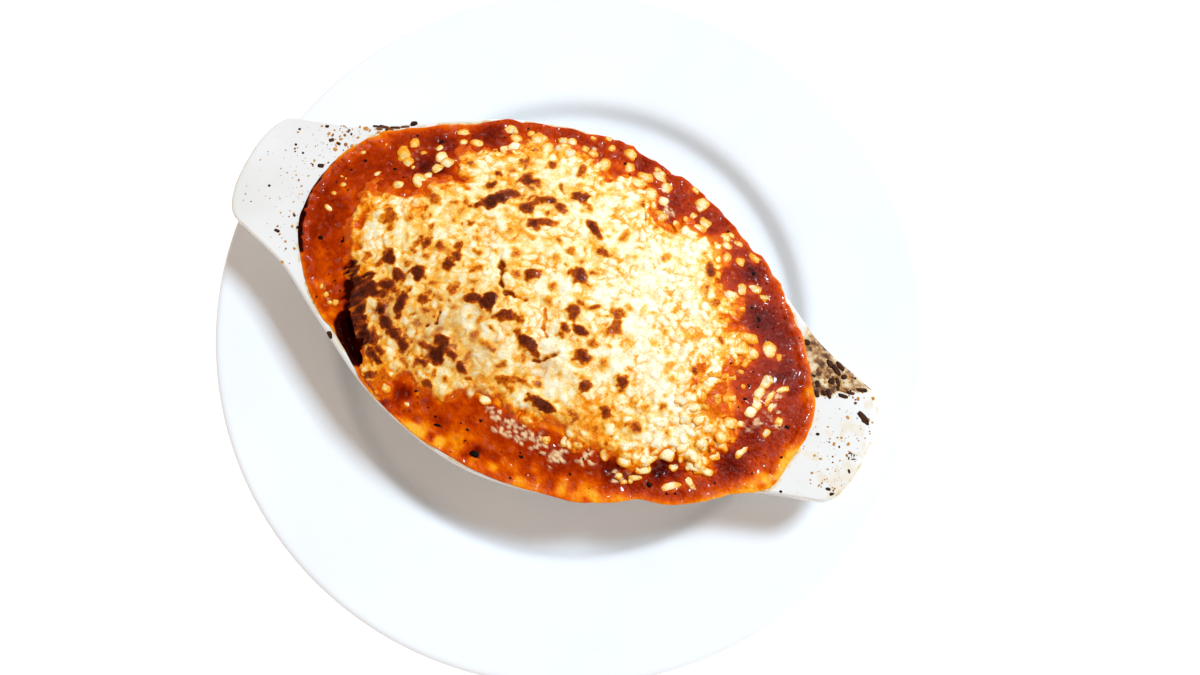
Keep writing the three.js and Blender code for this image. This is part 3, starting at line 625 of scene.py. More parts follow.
def buildDish():
    n, top = dishSet["spokes"], rimHeight
    under, wallThickness = top - dishPlan["rimThickness"], dishPlan["wall"]
    foot, floor = dishPlan["stands"], dishPlan["stands"] + dishPlan["floor"]

    def base(inset):
        return lambda a: ovalReach(a, *dishPlan["base"]) - inset

    def rim(inset):
        return lambda a: rimReach(a) - inset

    def wall(z, inset=0.0):
        return lambda a: wallReach(a, z) - inset

    def mouth(out):
        return lambda a: mouthReach(a) + out

    def between(share):
        return lambda a: rim(dishSet["rimIn"])(a) * (1 - share) + mouth(dishSet["mouthOut"])(a) * share

    rows = [(base(14), foot + 1.2), (base(6.2), foot + 1.2), (base(5.2), foot + 0.8), (base(4.8), foot + 0.1)]
    rows += [(base(4.2), foot), (base(1.4), foot), (base(0.7), foot + 0.15), (base(0.2), foot + 0.6)]
    rows += [(wall(z), z) for z in np.linspace(foot + 1.2, under - 2.2, dishSet["wallRings"])]
    rows += [(wall(under - 1.0, 0.2), under - 1.0), (wall(under - 0.2, -0.3), under - 0.25)]
    rows += [(rim(2.0), under), (rim(1.0), under + 0.12), (rim(0.4), under + 0.5), (rim(0.08), under + 1.1)]
    rows += [(rim(0), under + 1.9), (rim(0), top - 1.9), (rim(0.1), top - 1.1), (rim(0.45), top - 0.45)]
    rows += [(rim(1.0), top - 0.1)]
    rows += [(between(share), top) for share in np.linspace(0, 1, dishSet["rimRings"])]
    rows += [(mouth(0.6), top - 0.15), (mouth(0.15), top - 0.6)]
    rows += [(wall(z, wallThickness), z) for z in np.linspace(top - 1.6, floor + 3, 8)]
    rows += [(wall(floor, wallThickness + 1.5), floor + 0.8), (wall(floor, wallThickness + 4), floor)]
    bm = loftRings(n, [ringPoints(n, reach, z) for reach, z in rows])
    piece = makePiece("gratin_dish_porcelain", bm, dishMaterial(), "dish_porcelain", "gratin_dish")
    u, v, z = planPlaces(piece.data)
    setField(piece.data, "film", filmField(u, v) * smoothstep(top - 2, top - 0.3, z))


buildDish()


# Tomato sauce
sauceSet = {
    "spokes": 800, "rings": 96,
    "inner": (46.0, 32.0),  # half the length and width of the middle ring, all of it under the cheese
    "ripple": 0.22, "ripples": (8.0, 2.0),  # how high the ripples are, and how far apart
    "grain": 1.5, "grainRise": 0.25,  # grains of curd, how far apart and how high
    "sunk": 2.6,  # how far it drops under the mat of cheese
    "lip": 1.35, "lipWidth": 3.2,  # rounded edge on the rim
    "bead": 0.7, "beadIn": 2.6, "beadWidth": 1.1,  # thicker line along that edge at both ends
    "hollow": 3.0,  # depth of the hollow at most, which is painted black as its shadow
    "oil": 0.31, "edgeOil": 0.5, "haloOil": 0.3,  # all over, along the edge and round the cheese
    "glint": 2.083, "oilBead": 2.381, "pulp": 1.111,  # mm across wet glints, beads of oil and bits of pulp
}

# Places where the sauce is oilier, darker, wetter, or full of fine grains of curd: u, v, radius, how much.
oilPlaces = [
    (65, -3, 9, 0.7), (73, -9, 7, 0.5), (62, 2, 7, 0.55), (76, -3, 4, 0.3), (69, -10, 6, 0.4),
    (-18, -61.5, 6, 0.5), (-10, -61, 7, 0.6), (-24, -60, 6, 0.4), (0, -61, 6, 0.4), (10, -60, 6, 0.3),
    (22, -60, 8, 0.45), (36, -57, 7, 0.5), (46, -55, 6, 0.45), (54, -52, 5, 0.3), (-62, -42, 5, 0.45),
    (-68, -38, 5, 0.3), (-76, -31, 6, 0.2), (-78, -22, 8, 0.15), (-8, -51, 12, 0.14), (10, -54, 9, 0.1),
    (-45, -54, 6, 0.4), (1, 56, 6, 0.22), (2, 64, 4, 0.2), (29, 56, 5, 0.15), (-84, 28, 6, 0.2),
    (-90, 18, 6, 0.15), (100, -12, 6, 0.35), (99, -22, 7, 0.4), (93, -30, 6, 0.2), (97, 10, 5, 0.3),
    (-60, 44, 5, 0.15), (70, 17, 4, 0.3), (84, -3, 6, 0.15), (-22, -54, 14, 0.14), (-40, -51, 9, 0.14),
    (42, -50, 10, 0.12), (97, -24, 9, 0.3), (90, -33, 7, 0.3), (84, -38, 6, 0.3), (101, -14, 5, 0.3),
    (95, -19, 7, 0.15), (0, -53, 12, 0.1), (14, -60, 8, 0.2), (-84, 5, 5, 0.12), (-82, -18, 5, 0.15),
    (-72, -28, 5, 0.2),
]
darkPlaces = [
    (71, 28, 9, 0.45), (62, 41, 7, 0.4), (-62, 24, 7, 0.45), (-47, 48, 8, 0.35), (-56, 26, 4, 0.4),
    (63, -36, 8, 0.6), (84, -24, 9, 0.35), (88, 12, 11, 0.28), (-60, 37, 8, 0.25), (47, -44, 6, 0.5),
    (32, -49, 5, 0.2), (8, 62, 7, 0.2), (24, 54, 7, 0.15), (-88, -2, 9, 0.12), (42, 54, 9, 0.15),
    (60, 48, 8, 0.15), (86, -10, 8, 0.2), (-58, 14, 5, 0.3), (80, 24, 7, 0.2), (-31, -53, 5, 0.5),
    (2, -59, 3, 0.4), (-36, -58.5, 2.5, 0.6), (54, -46, 6, 0.25),
]
wetPlaces = [
    (84, 27, 6, 0.9), (76, 36, 5, 0.7), (93, 14, 7, 0.8), (62, 46, 8, 0.6), (44, 56, 9, 0.6),
    (22, 60, 10, 0.6), (0, 62, 10, 0.6), (-24, 60, 10, 0.5), (66, 4, 9, 1.0), (70, -6, 8, 0.9),
    (86, 2, 9, 0.8), (90, -6, 8, 0.7), (84, -38, 5, 0.9), (-44, -49, 8, 0.8), (-86, -10, 9, 0.5),
    (-62, 40, 8, 0.5), (8, -46, 10, 0.6), (26, -47, 8, 0.6), (56, -44, 7, 0.7), (68, -38, 7, 0.5),
    (-27, -55, 4, 1.4), (-21, -60, 4, 1.2), (-74, -24, 7, 0.5), (52, 44, 7, 0.5), (93, -20, 8, 0.4),
]
grainPlaces = [
    (2, -45, 4, 0.9), (8, -47, 5, 1.0), (15, -47.5, 5, 1.0), (21, -46.5, 4, 1.0), (27, -50, 3.5, 0.9),
    (29, -47, 4, 0.8), (25, 48, 3.5, 0.9), (88, 2, 6, 0.35), (86, -8, 6, 0.4), (91, -4, 5, 0.3),
    (-14, -48, 4, 0.5), (50, -46, 4, 0.9), (-10, 57, 4, 0.6), (38, -44, 5, 0.6), (-66, 30, 4, 0.4),
    (66, 24, 4, 0.2), (-72, -33, 4, 0.4),
]


def sauceFields(u, v):  # height in mm, then how oily, how burnt (and the painted shadow in the hollow), grainy and wet
    cheese = insideDistance(u, v, cheeseCurve)
    edge = insideDistance(u, v, spillCurve)
    large, small = sauceSet["ripples"]
    rough = 0.6 + 0.36 * smoothstep(38, 52, v) + 0.36 * smoothstep(60, 80, u)
    ripple = 0.7 * layeredNoise(u, v, large, 21, 2) + 0.45 * layeredNoise(u, v, small, 23, 2) * rough
    grainy = np.clip(softSpots(u, v, grainPlaces), 0, 1)
    away, _, rank = pelletField(u + 0.3 * softNoise(u, v, 1.1, 32), v, sauceSet["grain"], 31, 1.4)
    grain = smoothstep(0.6, 0.2, away) * smoothstep(0.95, 0.6, rank + 0.9 * (1 - grainy))

    z = moundHeight(u, v) + sauceSet["ripple"] * ripple + sauceSet["grainRise"] * grain
    z = z - sauceSet["sunk"] * smoothstep(1.5, 6, cheese)
    rounded = np.sqrt(1 - (1 - np.clip(edge / sauceSet["lipWidth"], 0, 1)) ** 2)
    lip = rimHeight + 0.02 + sauceSet["lip"] * rounded + 0.12 * ripple
    z = np.where(edge < 5, np.minimum(z, lip + smoothstep(3, 5, edge) * 4), z)
    bead = np.exp(-((edge - sauceSet["beadIn"]) / sauceSet["beadWidth"]) ** 2)
    bead = bead * (0.7 + 0.6 * softNoise(u, v, 1.5, 24)) * smoothstep(70, 88, np.abs(u))
    z = z + (sauceSet["bead"] + 0.5 * smoothstep(-70, -86, u)) * bead
    hole = smoothstep(-0.4, 1.5, holeDistance(u, v))
    z = z - np.minimum(sauceSet["hollow"], np.clip(z - rimHeight - 0.25, 0, 9)) * hole

    thin = np.exp(-np.clip(edge, 0, 99) / 1.6) * (1 - 0.6 * smoothstep(45, 60, np.abs(v)))
    oil = sauceSet["oil"] + 0.02 * layeredNoise(u, v, 12, 41) + 0.02 * softNoise(u, v, 3.0, 42)
    oil = oil + 0.04 * softNoise(u, v, 1.4, 43) + sauceSet["edgeOil"] * thin
    oil = oil + softSpots(u, v, oilPlaces) * (0.75 + 0.5 * softNoise(u, v, 3.5, 44))
    oil = oil - softSpots(u, v, darkPlaces) * 0.6
    roundCrumbs = 0.6 * np.exp(-np.clip(crumbDistance(u, v), 0, 9))
    roundMat = np.exp(-np.clip(-cheese, 0, 9) / (1.2 + 1.2 * smoothstep(-40, -56, u)))
    halo = np.maximum(roundCrumbs, roundMat) * np.clip(0.8 + 0.6 * softNoise(u, v, 2.8, 45), 0, 1.6)
    oil = oil + (sauceSet["haloOil"] - 0.1 * smoothstep(-30, -50, u)) * halo

    # char from the scorched patch and the burnt line, and black painted into the hollow as its shadow
    burnt_and_shade = np.maximum(scorchField(u, v), smoothstep(-1.0, 0.0, insideDistance(u, v, shadedHollow)))
    fromLine = lineDistance(u, v, burntEdge) + 0.6 * softNoise(u, v, 1.4, 52)
    burnt_and_shade = 0.9 * np.maximum(burnt_and_shade, smoothstep(2.0, 0.9, fromLine))
    burnt_and_shade = np.maximum(burnt_and_shade, hole)
    wet = np.clip(softSpots(u, v, wetPlaces) + 2 * bead, 0, 1.5) - 2 * burnt_and_shade
    return z, np.clip(oil * (1 - 0.9 * burnt_and_shade), 0, 1), burnt_and_shade, grain, wet


def sauceMaterial():
    # cooked tomato sauce: dark red pulp, orange where oil has split out of it, and wet
    mat, shader = newMaterial("baked_tomato_sauce", IOR=1.45, Specular_IOR_Level=0.12, Coat_Roughness=0.1,
                              Subsurface_Weight=0.1, Subsurface_Scale=2 * mm)
    place = addNode(mat, "ShaderNodeTexCoord", "Object")
    oil, burnt_and_shade, grain, wet = (addNode(mat, "ShaderNodeAttribute", "Fac", attribute_name=name)
                              for name in ("oil", "burnt_and_shade", "grain", "wet"))
    glint, oilBead, pulp = (
        addNode(mat, "ShaderNodeTexNoise", "Fac",
                {"Vector": place, "Scale": lumpScale(sauceSet[name]), "Detail": detail})
        for name, detail in (("glint", 0.0), ("oilBead", 2.0), ("pulp", 3.0)))
    # small wet domes take the light here and there, most where the sauce is wettest
    share = addNode(mat, "ShaderNodeMath", 0, {0: wet, 1: 0.16, 2: glint}, operation="MULTIPLY_ADD")
    coat = addNode(mat, "ShaderNodeMapRange", "Result",
                   {"Value": share, "From Min": 0.66, "From Max": 0.71, "To Min": 0.03, "To Max": 1.0})
    dome = addNode(mat, "ShaderNodeBump", "Normal", {"Height": glint, "Strength": 1.0, "Distance": 1.7 * mm})
    # dark red pulp, and the more oil there is the more orange
    shifted = addNode(mat, "ShaderNodeMath", 0, {0: pulp, 1: 0.2, 2: oil}, operation="MULTIPLY_ADD")
    depth = addNode(mat, "ShaderNodeMath", 0, {0: shifted, 1: 0.1}, operation="SUBTRACT")
    color = addNode(mat, "ShaderNodeValToRGB", "Color", {"Fac": depth}, [
        (0.0, "#480B04"), (0.2, "#7E1A05"), (0.4, "#B03204"), (0.6, "#DA5404"), (0.8, "#F4860A"),
        (1.0, "#FFB02C")])
    # pale grains of curd, then near-black char and the hollow's painted shadow
    for fac, text in ((grain, "#F4CE9C"), (burnt_and_shade, "#1C0906")):
        color = addNode(mat, "ShaderNodeMix", "Result", {"Factor": fac, "A": color, "B": hexColor(text)},
                        data_type="RGBA")
    height = addNode(mat, "ShaderNodeMath", 0, {0: oilBead, 1: 1.4, 2: pulp}, operation="MULTIPLY_ADD")
    bump = addNode(mat, "ShaderNodeBump", "Normal",
                   {"Height": height, "Strength": 0.9, "Distance": 0.5 * mm})
    matt = addNode(mat, "ShaderNodeMapRange", "Result",
                   {"Value": pulp, "From Min": 0.3, "From Max": 0.7, "To Min": 0.3, "To Max": 0.5})
    dry = addNode(mat, "ShaderNodeMath", 0, {0: matt, 1: burnt_and_shade}, operation="MAXIMUM")
    for output, name in ((color, "Base Color"), (dry, "Roughness"), (bump, "Normal"),
                         (coat, "Coat Weight"), (dome, "Coat Normal")):
        joinNodes(mat, output, shader.inputs[name])
    return mat


def buildSauce():
    n, wallThickness = sauceSet["spokes"], dishPlan["wall"]
    floor, gap = dishPlan["stands"] + dishPlan["floor"], 0.4

    def across(share):
        return lambda a: ovalReach(a, *sauceSet["inner"]) * (1 - share) + (spillReach(a) - 0.02) * share

    shares = np.linspace(0, 1, sauceSet["rings"]) ** 0.9
    top = np.concatenate([ringPoints(n, across(share), 0) for share in shares])
    top[:, 2] = sauceFields(top[:, 0], top[:, 1])[0]
    rows = [(spillReach, rimHeight - 0.25), (lambda a: spillReach(a) - 0.8, rimHeight - 0.4),
            (lambda a: mouthReach(a) + 0.4, rimHeight - 0.3)]
    rows += [(lambda a, z=z: wallReach(a, z) - wallThickness - gap, z)
             for z in np.linspace(rimHeight - 2, floor + 3, 4)]
    rows += [(lambda a: wallReach(a, floor) - wallThickness - 4.5, floor + gap)]
    bm = loftRings(n, [*top.reshape(-1, n, 3), *(ringPoints(n, reach, z) for reach, z in rows)])
    piece = makePiece("tomato_sauce_filling", bm, sauceMaterial(), "tomato_sauce", "lasagna_and_sauce")
    u, v, _ = planPlaces(piece.data)
    for name, values in zip(("oil", "burnt_and_shade", "grain", "wet"), sauceFields(u, v)[1:]):
        setField(piece.data, name, values)


buildSauce()


# Melted cheese
shredSet = {
    "apart": 3.4, "length": (0.44, 0.82), "width": (0.36, 0.46),  # half of each is this share of the spacing
    "lift": 0.45, "dome": 0.65, "number": 73,  # most lift, height of its round top, random number
}
cheeseSet = {
    "step": 0.384,  # spacing of the mesh
    "overlap": 3.4, "margin": 1.2,  # how far it goes past its own edge, and stays inside the sauce's
    "sheet": 1.8,  # thickness of the melted sheet
    "buried": 2.4,  # how far its gaps and its edge go down into the sauce
    "shredRise": 0.66, "crack": 1.5, "hollow": 3.5,  # height of the shreds, depth of cracks and of the hollow
    "curd": 3.9, "curdRise": 0.42, "seam": 0.12,  # spacing and height of the curds, and depth of their seams
    "flecks": ((5.6, 85, 0.6), (3.4, 86, 0.5)),  # small golden flecks: how far apart, seed, how dark
    "toast": 0.02, "mottle": 0.16, "seep": 0.3,  # toasting all over, its mottling, and soaked patches
    "fine": 0.6667, "grit": 0.4545,  # mm across speckles and grit, coarser than real so that they show
}


def scatterShreds():  # grated shreds, one to a cell of a loose lattice, and kept only inside the ragged edge
    size, rng = shredSet["apart"], np.random.default_rng(shredSet["number"])
    cells = (int(220 / size), int(140 / size))
    i, j = np.indices(cells)
    made = {
        "u": (i - cells[0] / 2 + rng.uniform(0.1, 0.9, cells)) * size,
        "v": (j - cells[1] / 2 + rng.uniform(0.1, 0.9, cells)) * size,
        "turn": rng.uniform(0, math.pi, cells),
        "halfLength": size * rng.uniform(*shredSet["length"], cells),
        "halfWidth": size * rng.uniform(*shredSet["width"], cells),
        "lift": rng.uniform(0, shredSet["lift"], cells),
    }
    inside = insideDistance(made["u"].ravel(), made["v"].ravel(), cheeseCurve).reshape(cells)
    made["lift"][inside + 1.6 * (rng.uniform(0, 1, cells) - 0.5) < 0.2] = -9
    return made


shreds = scatterShreds()


def shredField(u, v):  # the top shred's height over its bed, below zero for none, and mm in from its edge
    size, cells = shredSet["apart"], shreds["u"].shape
    ui, vj = np.floor(u / size + cells[0] / 2).astype(int), np.floor(v / size + cells[1] / 2).astype(int)
    high, inward = np.full(u.shape, -1.0), np.zeros_like(u)
    for di in (-2, -1, 0, 1, 2):
        for dj in (-2, -1, 0, 1, 2):
            at = (np.clip(ui + di, 0, cells[0] - 1), np.clip(vj + dj, 0, cells[1] - 1))
            du, dv, turn = u - shreds["u"][at], v - shreds["v"][at], shreds["turn"][at]
            a = np.abs(du * np.cos(turn) + dv * np.sin(turn)) / shreds["halfLength"][at]
            b = np.abs(dv * np.cos(turn) - du * np.sin(turn)) / shreds["halfWidth"][at]
            out = (a ** 3 + b ** 3) ** (1 / 3)
            top = shreds["lift"][at] + shredSet["dome"] * np.sqrt(np.clip(1 - out ** 3, 0, 1))
            above = (out < 1) & (top > high)
            high = np.where(above, top, high)
            inward = np.where(above, (1 - out) * shreds["halfWidth"][at], inward)
    return high, inward


def blisterFields(u, v):  # how far the blisters rise, in mm, and how dark they are
    edge = 0.95 * softNoise(u, v, 2.8, 61) + 0.5 * softNoise(u, v, 1.2, 62)
    lift, dark = np.zeros_like(u), np.zeros_like(u)
    for cu, cv, length, width, degrees, amount in blisters:
        close = np.flatnonzero((np.abs(u - cu) < length + 3) & (np.abs(v - cv) < length + 3))
        turn = math.radians(degrees)
        du, dv = u[close] - cu, v[close] - cv
        a = (du * math.cos(turn) + dv * math.sin(turn)) / (length / 2)
        b = (dv * math.cos(turn) - du * math.sin(turn)) / (width / 2)
        out = np.hypot(a, b)
        beyond = (out - 1) * math.sqrt(length * width) / 2 + edge[close] * min(1, width / 3.6)
        dome = np.sqrt(np.clip(1 - (out / 1.2) ** 2, 0, 1)) * (0.2 + 0.10 * min(length, 2 * width))
        lift[close] = np.maximum(lift[close], dome * (0.4 + 0.6 * amount))
        browned = 0.28 * smoothstep(1.4, -0.1, beyond) + 0.38 * smoothstep(0.35, -0.35, beyond)
        browned = browned + 0.24 * smoothstep(-0.3, -1.7, beyond)
        dark[close] = np.maximum(dark[close], browned * amount)
    return lift, dark


def crackField(u, v):  # how open the cracks are, 0 to 1
    wander = 0.6 * softNoise(u, v, 1.6, 77) + 0.4 * softNoise(u, v, 3.2, 80)
    split = np.zeros_like(u)
    for width, line in cracks:
        near = np.clip(lineDistance(u, v, line) + wander * min(1, width), 0, 99)
        split = np.maximum(split, min(1, width / 0.8) * np.exp(-(near / (0.55 * width)) ** 2))
    return split


def cheeseFields(u, v):  # height in mm, then how toasted (darkest in the hollow, as painted shadow), soaked with fat, bare of cheese, and dull (partly painted shade)
    inside = insideDistance(u, v, cheeseCurve)
    loose = np.clip(0.1 + softSpots(u, v, loosePlaces), 0, 1)
    high, inward = shredField(u + 0.4 * softNoise(u, v, 1.8, 71), v + 0.4 * softNoise(u, v, 1.8, 72))
    lift, dark = blisterFields(u, v)
    split = crackField(u, v)
    hole = smoothstep(0.3, 1.2, holeDistance(u, v))
    bentU = u + 0.7 * softNoise(u, v, 3.8, 82) + 0.24 * softNoise(u, v, 1.2, 92)
    bentV = v + 0.7 * softNoise(u, v, 3.8, 83) + 0.24 * softNoise(u, v, 1.2, 93)
    away, border, rank = pelletField(bentU, bentV, cheeseSet["curd"], 95, 0.9)
    curd = np.exp(-(away / (0.3 + 0.22 * rank)) ** 2) * smoothstep(0.1, 0.5, rank) * (1 - dark)
    seam = np.exp(-(border / 0.2) ** 2) * smoothstep(-0.6, 0.6, softNoise(u, v, 6, 96)) * (1 - dark)

    # how thick it lies on the mound: a sheet that thins to a ragged edge, then shreds, curds and blisters
    left = smoothstep(-42, -58, u)
    ragged = inside + (1.3 + 0.8 * left) * softNoise(u, v, 3.4, 70) + 0.6 * softNoise(u, v, 1.5, 78)
    sheet = cheeseSet["sheet"] + 0.4 * layeredNoise(u, v, 7, 75) + 0.16 * softNoise(u, v, 2.8, 76)
    sheet = sheet * smoothstep(-0.4, 4.2 + 2 * left, ragged)
    sheet = sheet - cheeseSet["buried"] * smoothstep(0.7, -1.5, ragged)
    thick = sheet * (1 - 0.25 * loose) + cheeseSet["shredRise"] * loose * np.clip(high, 0, 2)
    alone = smoothstep(0.3, 0.6, loose) * smoothstep(0, 0.3, inward)
    thick = np.maximum(thick, (0.15 + high) * alone - cheeseSet["buried"] * (1 - alone))
    thick = thick + lift * smoothstep(0, 3, inside) - cheeseSet["hollow"] * hole
    thick = thick - cheeseSet["crack"] * split * smoothstep(1, 3, inside)
    z = moundHeight(u, v) + thick + 0.06 * layeredNoise(u, v, 1.6, 79, 2) * (1 + 2 * dark)
    z = z + (cheeseSet["curdRise"] * curd - cheeseSet["seam"] * seam) * smoothstep(0, 2, inside)

    # how toasted: mottled, with golden places (partly painted shade at the lower left), flecks, gaps between
    # shreds, and then blisters and char
    goldenAndShade = softSpots(u, v, goldenAndShadePlaces)
    mottle = 0.44 - 0.06 * smoothstep(10, 40, u) + 0.36 * softNoise(bentU, bentV, 6.5, 81)
    mottle = mottle + 0.36 * softNoise(bentU, bentV, 2.6, 84)
    mottle = np.clip(mottle + 0.3 * softNoise(u, v, 1.2, 97), 0, 1.4)
    flecks = np.zeros_like(u)
    for size, seed, amount in cheeseSet["flecks"]:
        away, _, rank = pelletField(bentU, bentV, size, seed, 0.8)
        showing = smoothstep(0.6 - 2 * np.clip(goldenAndShade, -0.06, 1), 1.0, rank)
        flecks = np.maximum(flecks, amount * showing * np.exp(-(away / (0.11 + 0.14 * rank)) ** 2))
    gap = np.where(high > 0, np.exp(-(inward / 0.38) ** 2), 1.0) * np.clip(0.3 + 1.2 * loose, 0, 1)
    toast = cheeseSet["toast"] + cheeseSet["mottle"] * mottle ** 1.5 * (1 + 2 * goldenAndShade) + flecks + 0.1 * gap
    toast = toast + goldenAndShade * (1.15 - 1.1 * curd) + (0.08 + 0.45 * np.clip(goldenAndShade, 0, 1)) * seam
    toast = toast - 0.1 * curd + 0.34 * split
    streak = softNoise(0.5 * (u + v), 1.4 * (v - u), 1.6, 98)
    dark = np.maximum(dark, (0.8 + 0.16 * streak) * scorchField(u, v))
    # blisters and char darken it, and the hollow is painted darkest as its shadow
    toast = np.maximum(np.clip(toast, 0, 0.6) * (1 - dark) + dark, hole)

    # how soaked with fat: in the seams and gaps, in the oily places and where it is thin, less at the right
    glow = softNoise(bentU, bentV, 4.4, 88) + 0.5 * softNoise(u, v, 1.7, 89)
    seep = cheeseSet["seep"] * smoothstep(0.0, 1.2, glow + 2 * goldenAndShade) * (1 - 0.7 * curd)
    seep = (seep + 0.3 * seam) * (1 - dark) + np.exp(-np.clip(thick - 0.1, 0, 9) / 0.55)
    seep = seep + gap * (0.2 + 0.5 * smoothstep(7, 0, inside))
    fringe = np.exp(-np.clip(ragged, 0, 99) / (1.6 + 2.2 * left))
    oily = np.clip(softSpots(u, v, oilyPlaces), 0, 0.9)
    seep = seep + fringe * (0.45 + 0.4 * left + 0.4 * glow) + oily * (0.62 + 0.6 * glow)
    seep = seep + 0.2 * smoothstep(0.1, 0.5, split)
    bright = smoothstep(-10, 40, u) * smoothstep(-0.6, 0.9, glow) * smoothstep(-2, 8, inside) * (1 - oily)
    seep = np.clip(seep, 0, 1 - 0.34 * bright) * (1 - hole)

    bare = np.maximum(0.85 * smoothstep(0.5, 0.9, split), smoothstep(-0.6, -1.2, thick) * 0.8)
    # painted shade: a dull beige, thin cheese and shade of the slopes turned from the light at the lower left
    dull_shade = softSpots(u, v, dullShadePlaces) * (0.7 + 0.4 * softNoise(u, v, 2.5, 91)) * np.clip(1 - 2 * dark, 0, 1)
    return z, np.clip(toast, 0, 1), seep, np.clip(bare - hole, 0, 1), np.clip(dull_shade, 0, 1)


def cheeseMaterial():
    # melted grated cheese: creamy and a little see-through, toasted gold to dark brown where it blistered
    mat, shader = newMaterial("toasted_melted_cheese", IOR=1.45, Specular_IOR_Level=0.14, Coat_Weight=0.12,
                              Coat_Roughness=0.1, Subsurface_Weight=0.26, Subsurface_Scale=1.4 * mm)
    shader.inputs["Subsurface Radius"].default_value = (1.0, 0.84, 0.5)
    place = addNode(mat, "ShaderNodeTexCoord", "Object")
    toast, seep, bare, dull_shade = (addNode(mat, "ShaderNodeAttribute", "Fac", attribute_name=name)
                               for name in ("toast", "seep", "bare", "dull_shade"))
    fine, grit = (
        addNode(mat, "ShaderNodeTexNoise", "Fac",
                {"Vector": place, "Scale": lumpScale(cheeseSet[name]), "Detail": detail})
        for name, detail in (("fine", 4.0), ("grit", 2.0)))
    speckle = addNode(mat, "ShaderNodeMapRange", "Result",
                      {"Value": fine, "From Min": 0.25, "From Max": 0.75, "To Min": -0.5, "To Max": 0.5})
    # the speckles spread most on golden cheese, and the pale and the darkest are smoother
    calm = addNode(mat, "ShaderNodeMath", 0, {0: toast, 1: -0.6, 2: 0.66}, operation="MULTIPLY_ADD")
    spread = addNode(mat, "ShaderNodeMath", 0, {0: toast, 1: calm, 2: 0.1}, operation="MULTIPLY_ADD")
    depth = addNode(mat, "ShaderNodeMath", 0, {0: speckle, 1: spread, 2: toast}, operation="MULTIPLY_ADD")
    color = addNode(mat, "ShaderNodeValToRGB", "Color", {"Fac": depth}, [
        (0.0, "#FEF8E0"), (0.12, "#FBE8B2"), (0.22, "#F8D080"), (0.33, "#F2AE3A"), (0.44, "#E48A0E"),
        (0.55, "#CC6204"), (0.67, "#A2440C"), (0.82, "#70290E"), (1.0, "#36130A")])
    # fat shows only where the cheese isn't browned
    soaked = addNode(mat, "ShaderNodeMath", 0, {0: speckle, 1: 0.42, 2: seep}, operation="MULTIPLY_ADD")
    fat = addNode(mat, "ShaderNodeValToRGB", "Color", {"Fac": soaked}, [
        (0.1, "#FFD878"), (0.4, "#FCB63C"), (0.7, "#F08E12"), (1.0, "#D04E05")])
    light = addNode(mat, "ShaderNodeMapRange", "Result",
                    {"Value": depth, "From Min": 0.35, "From Max": 0.6, "To Min": 1.0, "To Max": 0.0})
    full = addNode(mat, "ShaderNodeMapRange", "Result", {"Value": soaked, "From Min": 0.0, "From Max": 0.52})
    share = addNode(mat, "ShaderNodeMath", 0, {0: full, 1: light}, operation="MULTIPLY")
    # fat, then the dull beige (thin cheese, and painted shade at the lower left), then bare sauce in the
    # cracks
    for fac, over in ((share, fat), (dull_shade, hexColor("#B98F5E")), (bare, hexColor("#74200A"))):
        color = addNode(mat, "ShaderNodeMix", "Result", {"Factor": fac, "A": color, "B": over},
                        data_type="RGBA")
    height = addNode(mat, "ShaderNodeMath", 0, {0: fine, 1: grit}, operation="ADD")
    bump = addNode(mat, "ShaderNodeBump", "Normal",
                   {"Height": height, "Strength": 0.4, "Distance": 0.25 * mm})
    gloss = addNode(mat, "ShaderNodeMapRange", "Result",
                    {"Value": depth, "From Min": 0.0, "From Max": 0.8, "To Min": 0.36, "To Max": 0.62})
    for output, name in ((color, "Base Color"), (gloss, "Roughness"), (bump, "Normal")):
        joinNodes(mat, output, shader.inputs[name])
    return mat


def buildCheese():
    low, high = cheeseCurve.min(0) - 4, cheeseCurve.max(0) + 4
    count = np.ceil((high - low) / cheeseSet["step"]).astype(int)
    centre = np.array(dishPlan["centre"])
    middle, half = (low + high) / 2 + centre, count * cheeseSet["step"] / 2
    place = Matrix.Translation((*(middle * mm), rimHeight * mm)) @ Matrix.Diagonal((*(half * mm), 1, 1))
    bm = bmesh.new()
    bmesh.ops.create_grid(bm, x_segments=int(count[0]), y_segments=int(count[1]), size=1, matrix=place)
    flat = np.array([vert.co[:2] for vert in bm.verts]) / mm - centre
    kept = insideDistance(*flat.T, cheeseCurve) > -cheeseSet["overlap"]
    kept &= insideDistance(*flat.T, spillCurve) > cheeseSet["margin"]
    bmesh.ops.delete(bm, geom=[vert for vert, keep in zip(bm.verts, kept) if not keep], context="VERTS")
    for vert, height in zip(bm.verts, cheeseFields(*flat[kept].T)[0]):
        vert.co.z = height * mm
    # a short wall down from its edge, hidden in the sauce, and a flat underside
    edges = [edge for edge in bm.edges if edge.is_boundary]
    grown = bmesh.ops.extrude_edge_only(bm, edges=edges)["geom"]
    fresh = {g for g in grown if isinstance(g, bmesh.types.BMVert)}
    for vert in fresh:
        vert.co.z = (rimHeight - 1) * mm
    loop = [g for g in grown if isinstance(g, bmesh.types.BMEdge) and fresh.issuperset(g.verts)]
    bmesh.ops.edgeloop_fill(bm, edges=loop)
    bmesh.ops.recalc_face_normals(bm, faces=bm.faces)
    piece = makePiece("melted_cheese_mat", bm, cheeseMaterial(), "melted_cheese", "melted_cheese")
    u, v, _ = planPlaces(piece.data)
    for name, values in zip(("toast", "seep", "bare", "dull_shade"), cheeseFields(u, v)[1:]):
        setField(piece.data, name, values)


buildCheese()


